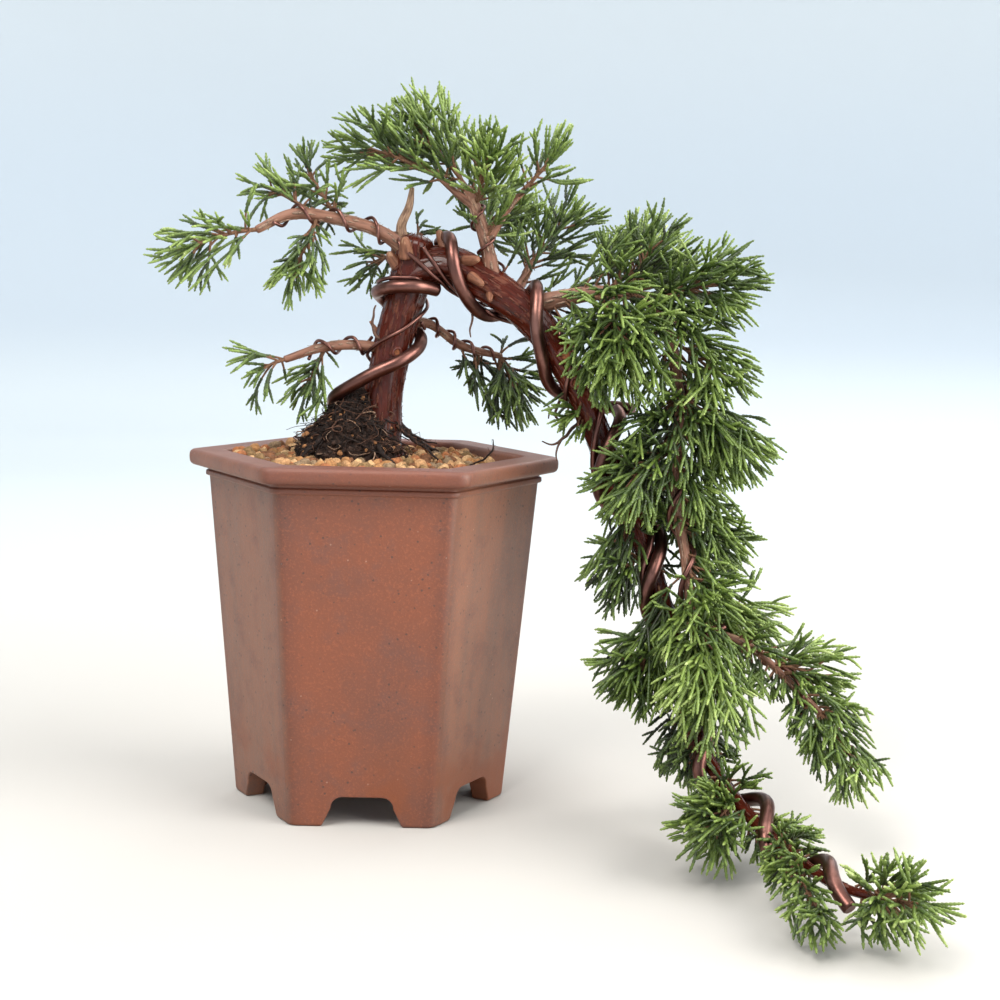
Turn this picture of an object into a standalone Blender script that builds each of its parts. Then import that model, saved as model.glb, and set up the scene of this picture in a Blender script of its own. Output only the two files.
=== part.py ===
"""A cascade juniper bonsai, built together with its tall hexagonal pot.

The trunk rises from a root mound in the pot, bends over the rim and falls below it in one long
cascade, with boughs and masses of foliage along it and copper-brown training wire coiled round it.
Each sub-part is one closed solid in an object of its own.  Tables are in millimetres, measured from
the middle of the pot's foot, +X to the right, +Y to the back and +Z up; the scene is in metres.
"""
import math
import random

import bmesh
import bpy
import numpy as np
from mathutils import Vector, noise

MM = 0.001
CLEAR = 0.32 * MM              # the gap that touching pieces keep
WELD = 0.001 * MM              # corners closer than this become one

# Where the middle of the pot stands, so that the whole plant's box is centred on the origin.
POT_PLACE = np.array([-53.4, 64.4, 0.0]) * MM

# ---------------------------------------------------------------- driving sizes of the pot
POT_HEIGHT = 140.0
RIM_RADIUS = 75.0              # to a corner of the lip
FOOT_RADIUS = 55.2             # to a corner of the foot
BODY_TOP_RADIUS = 66.6         # to a corner of the wall, just under the bead
BODY_TOP = 129.6
CAVITY_TOP_RADIUS = 60.0
CAVITY_FOOT_RADIUS = 49.0
FLOOR_TOP = 20.0
RECESS = 12.6                  # how far the underside is hollowed
FOOT_RING = 9.0                # how thick the ring is that the feet are cut from
CORNER_ROUND = 5.0
POT_TURN = math.radians(-0.5)
ARCH_HEIGHT = 12.0
ARCH_FOOT = 32.0
ARCH_TOP = 24.0
ARCH_ROUND = 4.0
SIDES = 6

# ---------------------------------------------------------------- soil and root mound
SOIL_MIDDLE = 138.4
SOIL_TILT = -0.045             # the heap falls towards +X
SOIL_EDGE_DROP = 1.5
SOIL_LUMP = 2.6                # lumps of granules rise and sink by about half of this
SOIL_LUMP_SPACING = 13.0
SOIL_POINTS = 24               # round each ring of the soil's top
MOUND_MIDDLE = (-10.0, -4.0)
MOUND_TOP = (-7.0, -1.0, 166.0)
MOUND_SPREAD = (21.0, 17.0)
MOUND_CROWN = (7.0, 6.5)

# ---------------------------------------------------------------- limbs: x, y, z and radius
TRUNK = [(1, 0, 138.8, 12.0), (1, 0, 143, 10.0), (2, 0, 151, 8.6), (4, -1, 170, 7.5), (9, -1, 194, 7.4),
         (13, 0, 209, 7.9), (15, 0, 223, 7.2)]
CASCADE = [(9, 0, 210, 7.4), (26, -1, 215, 7.8), (47, -5, 206, 7.4), (67, -10, 189, 6.3),
           (81, -14, 166, 5.4), (93, -17, 139, 4.9), (103, -21, 117, 4.3), (112, -29, 94, 3.7),
           (120, -42, 67, 3.2), (127, -61, 38, 2.8), (137, -85, 25, 2.5), (150, -118, 17, 2.1),
           (162, -147, 15, 1.8), (172, -166, 17, 1.3)]
CASCADE_PIECES = {"shoulder": (0, 3), "arm": (3, 5), "fall": (5, 9), "tail": (9, 13)}
SIDE_LINE = [(57, -8, 199, 4.2), (72, -8, 203, 3.4), (88, -8, 206, 3.0), (103, -11, 205, 2.7),
             (113, -18, 192, 2.5), (118, -26, 165, 2.3), (117, -30, 138, 2.2), (121, -36, 110, 2.0),
             (128, -46, 82, 1.8), (145, -52, 75, 1.5), (160, -60, 63, 1.2), (171, -66, 53, 1.0)]
SIDE_PIECES = {"right_bough": (0, 4), "second_fall": (4, 8), "side_branch": (8, 11)}
BOUGHS = {
    "left_high_bough": [(13, 0, 219, 3.2), (2, -4, 227, 2.6), (-16, -8, 232, 2.3),
                        (-34, -11, 233, 2.0), (-46, -13, 227, 1.6)],
    "left_low_bough": [(6, -1, 181, 2.4), (-6, -4, 183, 2.1), (-20, -8, 182, 1.8),
                       (-35, -10, 177, 1.4)],
    "jin": [(12, 2, 219, 2.8), (9, 2, 230, 2.0), (12, 2, 238, 1.6), (13, 3, 245, 0.9)],
    "crown_bough": [(46, -5, 207, 4.0), (44, -6, 219, 2.9), (39, -5, 235, 2.5),
                    (35, -4, 245, 2.1)],
    "crown_left_twig": [(38, -5, 238, 1.9), (31, -5, 243, 1.5), (24, -5, 249, 1.2)],
    "crown_right_twig": [(44, -6, 226, 1.8), (51, -7, 238, 1.4), (59, -8, 247, 1.1)],
    "back_high_bough": [(53, -4, 203, 2.6), (58, 8, 210, 1.9), (61, 16, 217, 1.4)],
    "inner_bough": [(11, 0, 193, 2.4), (20, 5, 192, 1.8), (34, 12, 183, 1.7), (50, 17, 179, 1.3)],
}

# ---------------------------------------------------------------- foliage masses
# line, share along it, heading and rise of the stem in degrees, its length, how far its tip sags
# (as a share of the length), how far the mass reaches from it, and its seed
MASSES = {
    "left_tip_foliage": ("left_high_bough", 1.0, -158, -6, 26, 0.18, 17, 1),
    "left_crest_foliage": ("left_high_bough", 0.64, 167, 33, 21, 0.10, 15, 2),
    "left_back_crest_foliage": ("left_high_bough", 0.50, 137, 45, 25, -0.05, 15, 3),
    "left_pendant_foliage": ("left_high_bough", 0.62, -135, -60, 24, 0.10, 13, 4),
    "left_low_tip_foliage": ("left_low_bough", 1.0, -155, -14, 9, 0.15, 17, 5),
    "left_low_under_foliage": ("left_low_bough", 0.62, 142, -60, 19, 0.0, 14, 6),
    "back_left_foliage": ("trunk", 0.95, 134, 4, 26, 0.20, 16, 7),
    "top_sprig_foliage": ("trunk", 0.98, 85, 40, 12, 0.05, 16, 8),
    "crown_left_foliage": ("crown_left_twig", 1.0, -174, 26, 30, 0.10, 19, 9),
    "crown_top_foliage": ("crown_bough", 1.0, 158, 50, 34, 0.08, 18, 10),
    "crown_middle_foliage": ("crown_bough", 0.80, -67, 60, 21, 0.0, 17, 11),
    "crown_right_foliage": ("crown_right_twig", 1.0, -15, 53, 12, 0.08, 17, 12),
    "crown_back_foliage": ("crown_bough", 0.48, 77, 26, 27, 0.05, 19, 13),
    "back_high_foliage": ("back_high_bough", 1.0, 37, 45, 22, 0.05, 20, 14),
    "right_top_foliage": ("side_line", 0.18, 30, 62, 21, 0.05, 19, 15),
    "right_back_foliage": ("side_line", 0.14, 56, 23, 38, 0.10, 22, 16),
    "right_front_foliage": ("side_line", 0.13, -76, -20, 36, 0.20, 24, 17),
    "right_far_foliage": ("side_line", 0.22, -28, 25, 28, 0.15, 22, 18),
    "right_middle_foliage": ("side_line", 0.29, -41, -22, 21, 0.15, 21, 19),
    "inner_foliage": ("inner_bough", 1.0, 49, -54, 14, 0.05, 20, 20),
    "arm_sprig_foliage": ("cascade", 0.28, -137, -9, 10, 0.15, 11, 21),
    "fall_right_foliage": ("side_line", 0.38, -12, -35, 24, 0.15, 21, 22),
    "fall_right_low_foliage": ("side_line", 0.54, 27, -41, 25, 0.15, 19, 23),
    "fall_left_foliage": ("side_line", 0.46, -145, -27, 24, 0.12, 20, 24),
    "fall_back_foliage": ("cascade", 0.39, 64, 5, 37, 0.15, 22, 25),
    "fall_left_low_foliage": ("cascade", 0.45, -149, -24, 12, 0.10, 19, 26),
    "middle_left_foliage": ("cascade", 0.54, -127, -16, 24, 0.15, 20, 27),
    "middle_right_foliage": ("side_line", 0.70, 22, -19, 28, 0.10, 19, 28),
    "middle_front_foliage": ("side_line", 0.75, -86, -30, 35, 0.20, 21, 29),
    "side_top_foliage": ("side_line", 0.89, -4, -4, 18, 0.15, 16, 30),
    "side_end_foliage": ("side_line", 1.0, -53, -42, 23, 0.0, 16, 31),
    "low_back_foliage": ("cascade", 0.66, 94, -19, 24, 0.10, 18, 32),
    "tail_left_foliage": ("cascade", 0.75, -116, -7, 25, 0.05, 17, 33),
    "tail_right_foliage": ("cascade", 0.81, 46, -11, 16, 0.10, 13, 34),
    "tail_under_foliage": ("cascade", 0.86, -90, -2, 50, 0.05, 13, 35),
    "tail_end_foliage": ("cascade", 1.0, -70, 20, 15, 0.05, 16, 36),
}

STEM_LEGS = 4
STEM_RADIUS = 1.1
STEM_TIP_RADIUS = 0.7
TWIG_SPACING = 4.5                    # along the stem
TWIG_LEAN = math.radians(48)          # between a twig and its stem
GOLDEN_ANGLE = math.radians(137.5)
TWIG_HALF = 1.6                       # half thickness of a twig's own shoot, larger than life
SHOOT_HALF = 1.4
SHOOT_LEAN = math.radians(36)
SHOOTS_ON_TWIG = 3
DRAWS = 5                             # how often a mass is drawn anew until it closes up
ROOT_SUNK = 0.9
LIFT = 0.16                           # how far twigs turn up towards the light
BORDER_SLACK = 3.0                    # how far a shoot may pass the middle between two stems
GROUND_CLEAR = 2.5
POT_KEEP_OFF = 78.0                   # foliage over the pot stays this far from its middle,
POT_KEEP_ABOVE = 148.0                # or above this height

# ---------------------------------------------------------------- wire
# its radius, then for each hand-set place on it: the line that it coils round, the share along that,
# its turn in degrees and how far it stands off the bark.  The turn grows along the wire, and is
# 0 at the front and 90 at the right of the upright trunk.
WIRES = {
    "wire_trunk": (2.6, [("trunk", 0.21, -104, 9.0), ("trunk", 0.275, -70, 9.0),
                         ("trunk", 0.33, -50, 4.0),
                         ("trunk", 0.395, -25, 1.0), ("trunk", 0.445, 15, 0.0),
                         ("trunk", 0.56, 80, 0.0), ("trunk", 0.66, 165, 0.0),
                         ("trunk", 0.75, 255, 0.0), ("trunk", 0.79, 355, 0.0),
                         ("trunk", 0.85, 425, 0.0)]),
    "wire_shoulder": (2.6, [("cascade", 0.045, 590, 0.0), ("cascade", 0.055, 640, 0.0),
                            ("cascade", 0.06, 700, 0.0), ("cascade", 0.08, 745, 1.0),
                            ("cascade", 0.10, 775, 0.0), ("cascade", 0.125, 820, 0.0),
                            ("cascade", 0.14, 910, 0.0), ("cascade", 0.145, 990, 2.0),
                            ("cascade", 0.165, 1055, 0.5), ("cascade", 0.19, 1095, 1.0),
                            ("cascade", 0.22, 1120, 0.0), ("cascade", 0.25, 1190, 0.0),
                            ("cascade", 0.275, 1270, 1.0)]),
    "wire_arm": (2.6, [("cascade", 0.295, 1310, 4.0), ("cascade", 0.305, 1350, 4.0),
                       ("cascade", 0.32, 1405, 1.0), ("cascade", 0.34, 1445, 0.0),
                       ("cascade", 0.365, 1495, 0.0), ("cascade", 0.42, 1650, 0.0),
                       ("cascade", 0.48, 1800, 0.0), ("cascade", 0.54, 1950, 0.0)]),
    "wire_tail": (2.6, [("cascade", 0.60, 1980, 0.0), ("cascade", 0.685, 2130, 0.0),
                        ("cascade", 0.71, 2245, 2.0), ("cascade", 0.755, 2390, 0.0),
                        ("cascade", 0.77, 2425, 4.0), ("cascade", 0.80, 2455, 3.0),
                        ("cascade", 0.83, 2530, 0.0), ("cascade", 0.86, 2640, 1.0),
                        ("cascade", 0.875, 2745, 0.0), ("cascade", 0.91, 2800, 0.0),
                        ("cascade", 0.945, 2890, 0.0), ("cascade", 0.97, 2970, 1.5)]),
    "wire_second": (1.05, [("side_line", 0.37, -150, 0.0), ("side_line", 0.40, -80, 0.0),
                           ("side_line", 0.475, 90, 1.0), ("side_line", 0.535, 290, 0.0),
                           ("side_line", 0.575, 410, 0.5), ("side_line", 0.61, 480, 0.5),
                           ("side_line", 0.655, 660, 0.0), ("side_line", 0.70, 755, 1.0),
                           ("side_line", 0.725, 800, 1.0), ("side_line", 0.76, 930, 0.5)]),
}
WIRE_STEP = 5.0
WIRE_SIDES = 5
WIRE_EASING = 4


# ================================================================ curves
def smooth_rows(rows, step):
    """A smooth curve through rows of numbers, the first three being its place, read every step."""
    rows = np.array(rows, float)
    legs = np.linalg.norm(np.diff(rows[:, :3], axis=0), axis=1)
    slopes = np.diff(rows, axis=0) / legs[:, None]
    tangents = np.vstack([slopes[:1], slopes[:-1] * legs[1:, None] + slopes[1:] * legs[:-1, None],
                          slopes[-1:]])
    tangents[1:-1] /= (legs[1:] + legs[:-1])[:, None]
    pieces = []
    for k, leg in enumerate(legs):
        t = np.linspace(0, 1, max(2, math.ceil(leg / step)) + 1)[:-1, None]
        pieces.append((2 * t**3 - 3 * t**2 + 1) * rows[k] + (t**3 - 2 * t**2 + t) * leg * tangents[k]
                      + (3 * t**2 - 2 * t**3) * rows[k + 1] + (t**3 - t**2) * leg * tangents[k + 1])
    return np.vstack(pieces + [rows[-1:]])


def unit(vector):
    return vector / np.linalg.norm(vector)


class Line:
    """A limb's middle line with a radius and a carried frame at each place; all in metres."""
    FRONT = np.array([0.0, -1.0, 0.0])

    def __init__(self, rows, step=1.5):
        fine = smooth_rows(rows, step) * MM
        self.points = fine[:, :3] + POT_PLACE
        self.radii = fine[:, 3]
        self.travel = np.concatenate(
            [[0], np.cumsum(np.linalg.norm(np.diff(self.points, axis=0), axis=1))])
        self.length = self.travel[-1]
        knots = np.array(rows, float)[:, :3] * MM + POT_PLACE
        self.knots = [self.travel[np.argmin(np.linalg.norm(self.points - k, axis=1))] for k in knots]
        self.tangents = np.array([unit(v) for v in np.gradient(self.points, axis=0)])
        front = unit(self.FRONT - self.tangents[0] * (self.FRONT @ self.tangents[0]))
        fronts = [front]
        for tangent in self.tangents[1:]:
            front = unit(front - tangent * (front @ tangent))
            fronts.append(front)
        self.fronts = np.array(fronts)

    def read(self, values, travel):
        if values.ndim == 1:
            return np.interp(travel, self.travel, values)
        return np.array([np.interp(travel, self.travel, column) for column in values.T])

    def frame(self, travel):
        """Middle, radius, front direction, side direction and tangent, that far along the line."""
        tangent = unit(self.read(self.tangents, travel))
        front = self.read(self.fronts, travel)
        front = unit(front - tangent * (front @ tangent))
        return (self.read(self.points, travel), self.read(self.radii, travel), front,
                np.cross(tangent, front), tangent)


# ================================================================ meshes
def material(name, colour, roughness, metallic=0.0):
    made = bpy.data.materials.new(name)
    made.use_nodes = True
    shader = made.node_tree.nodes["Principled BSDF"]
    shader.inputs["Base Color"].default_value = (*colour, 1.0)
    shader.inputs["Roughness"].default_value = roughness
    shader.inputs["Metallic"].default_value = metallic
    return made


def solid(name, vertices, faces, finish):
    """An object of one closed mesh of triangles, with its faces pointing out."""
    mesh = bpy.data.meshes.new(name)
    mesh.from_pydata([tuple(v) for v in vertices], [], faces)
    work = bmesh.new()
    work.from_mesh(mesh)
    bmesh.ops.recalc_face_normals(work, faces=work.faces)
    bmesh.ops.triangulate(work, faces=work.faces)
    work.to_mesh(mesh)
    work.free()
    piece = bpy.data.objects.new(name, mesh)
    bpy.context.scene.collection.objects.link(piece)
    mesh.materials.append(finish)
    return piece


def skin_rings(rings):
    """Vertices and faces of a closed skin over rings of equally many points, flat at both ends."""
    count = len(rings[0])
    vertices = [point for ring in rings for point in ring]
    faces = [(r * count + k, r * count + (k + 1) % count, (r + 1) * count + (k + 1) % count,
              (r + 1) * count + k) for r in range(len(rings) - 1) for k in range(count)]
    faces.append(tuple(range(count))[::-1])
    faces.append(tuple((len(rings) - 1) * count + k for k in range(count)))
    return vertices, faces


def limb_rings(line, start, end, sides, spacing, grow=0.0, relief=0.06):
    """Rings round a line between two places on it, with the slow bulges of old wood."""
    rings = []
    for travel in np.linspace(start, end, max(2, round((end - start) / spacing) + 1)):
        middle, radius, front, side, _ = line.frame(travel)
        ring = []
        for k in range(sides):
            turn = 2 * math.pi * k / sides
            out = math.cos(turn) * front + math.sin(turn) * side
            bulge = noise.noise(Vector((middle + out * radius) * 90.0))
            ring.append(middle + out * (radius * (1 + relief * bulge) + grow))
        rings.append(ring)
    return rings


def islands(work):
    """The separate bodies of a bmesh, as lists of faces."""
    left = set(work.faces)
    found = []
    while left:
        stack = [left.pop()]
        body = []
        while stack:
            face = stack.pop()
            body.append(face)
            for edge in face.edges:
                for other in edge.link_faces:
                    if other in left:
                        left.remove(other)
                        stack.append(other)
        found.append(body)
    return found


def keep_main_body(mesh):
    """Drops loose scraps and fills sealed hollows, which both show as further bodies.

    Returns whether what is left is closed."""
    work = bmesh.new()
    work.from_mesh(mesh)
    bmesh.ops.remove_doubles(work, verts=work.verts, dist=WELD)
    bodies = sorted(islands(work), key=len)
    for body in bodies[:-1]:
        bmesh.ops.delete(work, geom=body, context="FACES")
    loose = [vertex for vertex in work.verts if not vertex.link_faces]
    bmesh.ops.delete(work, geom=loose, context="VERTS")
    closed = all(len(edge.link_faces) == 2 for edge in work.edges)
    work.to_mesh(mesh)
    work.free()
    return closed


def settle(piece):
    """Replaces a piece's mesh by what its modifiers make of it, and says whether that is closed."""
    bpy.context.view_layer.update()
    evaluated = piece.evaluated_get(bpy.context.evaluated_depsgraph_get())
    finished = bpy.data.meshes.new_from_object(evaluated)
    piece.modifiers.clear()
    piece.data = finished
    return keep_main_body(finished)


def cut(piece, cutters):
    """Takes the cutters out of a piece, one Boolean each, and removes them."""
    for cutter in cutters:
        step = piece.modifiers.new("cut", "BOOLEAN")
        step.operation = "DIFFERENCE"
        step.solver = "EXACT"
        step.object = cutter
    settle(piece)
    for cutter in cutters:
        bpy.data.objects.remove(cutter)


def fuse(piece, parts):
    """Joins parts to a piece by one Boolean union on a collection, and removes them.

    Returns whether the piece is closed."""
    group = bpy.data.collections.new(piece.name + "_parts")
    bpy.context.scene.collection.children.link(group)
    for part in parts:
        bpy.context.scene.collection.objects.unlink(part)
        group.objects.link(part)
    alone = piece.data
    for solver in ("EXACT", "MANIFOLD"):
        piece.data = alone
        step = piece.modifiers.new("union", "BOOLEAN")
        step.operation = "UNION"
        step.solver = solver
        step.operand_type = "COLLECTION"
        step.collection = group
        closed = settle(piece)
        if closed:
            break
    for part in list(group.objects):
        bpy.data.objects.remove(part)
    bpy.data.collections.remove(group)
    return closed


# ================================================================ what already takes up room
class Room:
    """Straight runs with a radius that later pieces must stay clear of."""

    def __init__(self):
        self.starts = np.zeros((0, 3))
        self.ends = np.zeros((0, 3))
        self.radii = np.zeros(0)

    def add(self, points, radii):
        points = np.asarray(points, float)
        radii = np.broadcast_to(radii, len(points))
        self.starts = np.vstack([self.starts, points[:-1]])
        self.ends = np.vstack([self.ends, points[1:]])
        self.radii = np.concatenate([self.radii, np.maximum(radii[:-1], radii[1:])])

    def gap(self, first, last):
        """The smallest gap between a straight run and everything here."""
        if not len(self.radii):
            return 1.0
        run, others = last - first, self.ends - self.starts
        between = first - self.starts
        run_run, other_other = run @ run + 1e-18, np.einsum("ij,ij->i", others, others) + 1e-18
        run_other, run_between = others @ run, between @ run
        other_between = np.einsum("ij,ij->i", others, between)
        spread = np.maximum(run_run * other_other - run_other**2, 1e-24)
        s = np.clip((run_other * other_between - run_between * other_other) / spread, 0, 1)
        t = np.clip((run_other * s + other_between) / other_other, 0, 1)
        s = np.clip((run_other * t - run_between) / run_run, 0, 1)
        apart = between + s[:, None] * run - t[:, None] * others
        return float(np.min(np.linalg.norm(apart, axis=1) - self.radii))


limbs_room = Room()
foliage_room = Room()


# ================================================================ pot, soil and root mound
def hexagon_ring(radius, rounding, height, steps=1):
    """A hexagon with rounded corners, its corners that far from the pot's axis."""
    ring = []
    for corner in range(SIDES):
        towards = POT_TURN + 2 * math.pi * corner / SIDES
        middle = (radius - rounding / math.cos(math.pi / SIDES))
        for step in range(steps + 1):
            turn = towards + (step / steps - 0.5) * 2 * math.pi / SIDES
            ring.append(POT_PLACE + MM * np.array([
                middle * math.cos(towards) + rounding * math.cos(turn),
                middle * math.sin(towards) + rounding * math.sin(turn), height]))
    return ring


def arch_cutter(side):
    """The opening between two feet: a flared arch with round shoulders, along one side's normal."""
    half_foot, half_top = ARCH_FOOT / 2, ARCH_TOP / 2
    outline = [(half_foot + 1.4, -4.0)]
    for step in range(4):
        turn = math.radians(90) * step / 3
        outline.append((half_top - ARCH_ROUND + ARCH_ROUND * math.cos(turn),
                        ARCH_HEIGHT - ARCH_ROUND + ARCH_ROUND * math.sin(turn)))
    outline += [(-across, height) for across, height in outline[::-1]]
    normal = POT_TURN + 2 * math.pi * (side + 0.5) / SIDES
    out = np.array([math.cos(normal), math.sin(normal), 0.0])
    along = np.array([-math.sin(normal), math.cos(normal), 0.0])
    up = np.array([0.0, 0.0, 1.0])
    near, far = FOOT_RADIUS - 3.0 * FOOT_RING, FOOT_RADIUS + FOOT_RING
    rings = [[POT_PLACE + MM * (out * away + along * across + up * height)
              for across, height in outline] for away in (near, far)]
    cutter = solid("arch_cutter", *skin_rings(rings), CLAY)
    cutter.hide_render = True
    cutter.display_type = "WIRE"
    return cutter


def build_pot():
    round_ = CORNER_ROUND
    profile = [(FOOT_RADIUS - FOOT_RING + 0.4, 2.5, RECESS), (FOOT_RADIUS - FOOT_RING, 2.5, 0.6),
               (FOOT_RADIUS - FOOT_RING + 0.8, 3.0, 0.0), (FOOT_RADIUS - 1.4, round_, 0.0),
               (FOOT_RADIUS, round_, 1.6), (BODY_TOP_RADIUS, round_, BODY_TOP),
               (BODY_TOP_RADIUS + 1.0, round_, BODY_TOP + 0.8),
               (BODY_TOP_RADIUS + 0.8, round_, BODY_TOP + 2.2),
               (BODY_TOP_RADIUS + 1.6, round_, BODY_TOP + 3.4),
               (RIM_RADIUS - 1.2, round_ + 1, BODY_TOP + 4.2), (RIM_RADIUS, round_ + 1, BODY_TOP + 5.4),
               (RIM_RADIUS, round_ + 1, POT_HEIGHT - 1.4), (RIM_RADIUS - 1.5, round_, POT_HEIGHT),
               (CAVITY_TOP_RADIUS + 1.0, round_, POT_HEIGHT),
               (CAVITY_TOP_RADIUS, round_, POT_HEIGHT - 1.0),
               (CAVITY_FOOT_RADIUS, round_, FLOOR_TOP)]
    rings = [hexagon_ring(*row) for row in profile]
    pot = solid("pot", *skin_rings(rings), CLAY)
    cut(pot, [arch_cutter(side) for side in range(SIDES)])
    return pot


def soil_height(x, y):
    """The top of the soil, in millimetres, with x and y from the pot's axis."""
    away = math.hypot(x, y)
    edge = min(1.0, max(0.0, (away - 26.0) / 28.0))
    grain = 1.3 * noise.noise(Vector((x * 0.11, y * 0.11, 3.0)))
    from_mound = math.hypot(x - MOUND_MIDDLE[0], y - MOUND_MIDDLE[1])
    beside = min(1.0, max(0.0, (from_mound - MOUND_SPREAD[0] - 4.0) / 6.0))
    lump = SOIL_LUMP * noise.noise(Vector((x, y, 0.0)) * (1.7 / SOIL_LUMP_SPACING))
    return SOIL_MIDDLE + edge * (SOIL_TILT * x - SOIL_EDGE_DROP + 0.02 * y + grain) + beside * lump


def soil_ring(radius, share, height=None):
    """A ring inside the hexagonal cavity, at one height or lying on the soil's lumpy top."""
    ring = []
    for turn in POT_TURN + 2 * math.pi * np.arange(SOIL_POINTS) / SOIL_POINTS:
        aside = (turn - POT_TURN) % (2 * math.pi / SIDES) - math.pi / SIDES
        wall = min(radius * math.cos(math.pi / SIDES) / math.cos(aside), radius - 0.3 * CORNER_ROUND)
        x, y = share * wall * math.cos(turn), share * wall * math.sin(turn)
        ring.append(POT_PLACE + MM * np.array([x, y, soil_height(x, y) if height is None else height]))
    return ring


def build_soil():
    slack = CLEAR / MM / math.cos(math.pi / SIDES)
    foot = soil_ring(CAVITY_FOOT_RADIUS - slack + 0.1, 1.0, FLOOR_TOP + 0.35)
    rings = [soil_ring(CAVITY_TOP_RADIUS - slack - 0.6, share)
             for share in (1.0, 0.82, 0.62, 0.42, 0.2)]
    return solid("soil", *skin_rings([foot] + rings), GRANULES)


def build_mound(trunk_row, wire_points):
    """A lumpy heap of bared roots against the trunk's left side, cut clear of it and of its wire."""
    rings = []
    levels = 6
    for level in range(levels + 1):
        share = level / levels
        height = SOIL_MIDDLE + CLEAR / MM + share * (MOUND_TOP[2] - SOIL_MIDDLE)
        swell = (1 - share) ** 0.8
        ring = []
        for k in range(14):
            turn = 2 * math.pi * k / 14
            wide = MOUND_CROWN[0] * 0.5 + (MOUND_SPREAD[0] - MOUND_CROWN[0] * 0.5) * swell
            deep = MOUND_CROWN[1] * 0.5 + (MOUND_SPREAD[1] - MOUND_CROWN[1] * 0.5) * swell
            around = Vector((2.2 * math.cos(turn), 2.2 * math.sin(turn), height * 0.1))
            lump = 1 + 0.16 * noise.noise(around)
            ring.append(POT_PLACE + MM * np.array([
                MOUND_MIDDLE[0] + share * (MOUND_TOP[0] - MOUND_MIDDLE[0]) + wide * lump * math.cos(turn),
                MOUND_MIDDLE[1] + share * (MOUND_TOP[1] - MOUND_MIDDLE[1]) + deep * lump * math.sin(turn),
                height]))
        rings.append(ring)
    mound = solid("root_mound", *skin_rings(rings), ROOTS)
    line, sides, spacing, start, end = trunk_row
    grown = limb_rings(line, start, end, sides, spacing, grow=CLEAR)
    grown.insert(0, [point - np.array([0, 0, 4 * MM]) for point in grown[0]])
    wire = tube_rings(wire_points, WIRES["wire_trunk"][0] * MM + CLEAR, WIRE_SIDES)
    cut(mound, [solid("trunk_cutter", *skin_rings(grown), ROOTS),
                solid("wire_cutter", *skin_rings(wire), ROOTS)])
    return mound


# ================================================================ limbs
LIMB_RING = 7.0 * MM


def sides_for(radius):
    return 10 if radius > 6 * MM else 8 if radius > 3.4 * MM else 6


def build_limb(name, line, start, end, finish, near_lines):
    """One tapering limb along part of a line, coped to the limbs that it grows from."""
    sides = sides_for(line.frame((start + end) / 2)[1])
    spacing = max(5 * MM, min(LIMB_RING, 3.2 * line.frame(start)[1]))
    piece = solid(name, *skin_rings(limb_rings(line, start, end, sides, spacing)), finish)
    cutters = []
    for other, other_sides, other_spacing, first, last in near_lines:
        inside = (line.travel >= start) & (line.travel <= end)
        own = line.points[inside]
        apart = np.linalg.norm(own[:, None] - other.points[None], axis=2)
        reach = line.radii[inside][:, None] + other.radii[None] + CLEAR
        if (apart < reach * 1.05).any():
            rings = limb_rings(other, first, last, other_sides, other_spacing, grow=CLEAR)
            cutters.append(solid(name + "_cutter", *skin_rings(rings), finish))
    if cutters:
        cut(piece, cutters)
    near_lines.append((line, sides, spacing, start, end))
    inside = (line.travel >= start) & (line.travel <= end)
    limbs_room.add(line.points[inside][::2], line.radii[inside][::2] * 1.04)
    return piece


def build_chain(line, pieces, finish, near_lines):
    """The pieces that one line is split into at its bends."""
    for name, (first, last) in pieces.items():
        start, end = line.knots[first], line.knots[last]
        if first:
            start += CLEAR
        others = [row for row in near_lines if row[0] is not line]
        made = list(others)
        build_limb(name, line, start, end, finish, made)
        near_lines.append(made[-1])


# ================================================================ wire
def wire_path(rows, lines, radius):
    """A coil that keeps clear of the bark, its turn and its place growing evenly between places."""
    line = lines[rows[0][0]]
    travels, turns, stands = np.array([row[1:] for row in rows]).T
    travels, turns, stands = travels * line.length, np.radians(turns), stands * MM
    points = []
    for k in range(len(rows) - 1):
        stretch = abs(turns[k + 1] - turns[k]) * (line.frame(travels[k])[1] + radius + stands[k])
        steps = max(1, round(math.hypot(stretch, travels[k + 1] - travels[k]) / (WIRE_STEP * MM)))
        last = k == len(rows) - 2
        for share in np.arange(steps + last) / steps:
            travel, turn, stand = ((1 - share) * row[k] + share * row[k + 1]
                                   for row in (travels, turns, stands))
            middle, limb, front, side, _ = line.frame(travel)
            out = math.cos(turn) * front + math.sin(turn) * side
            points.append(middle + out * (limb * 1.05 + radius + CLEAR + stand))
    points = np.array(points)
    for _ in range(WIRE_EASING):
        points[1:-1] = 0.6 * points[1:-1] + 0.2 * (points[:-2] + points[2:])
        for _ in range(3):
            points = push_clear(points, limbs_room, radius + CLEAR * 1.5)
    return points


def push_clear(points, room, margin):
    """Moves points straight away from the nearest run until they are a margin clear of it."""
    moved = points.copy()
    for k, point in enumerate(points):
        others = room.ends - room.starts
        share = np.clip(np.einsum("ij,ij->i", point - room.starts, others)
                        / (np.einsum("ij,ij->i", others, others) + 1e-18), 0, 1)
        apart = point - room.starts - share[:, None] * others
        gaps = np.linalg.norm(apart, axis=1) - room.radii
        nearest = int(np.argmin(gaps))
        if gaps[nearest] < margin:
            moved[k] = point + unit(apart[nearest]) * (margin - gaps[nearest])
    return moved


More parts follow.
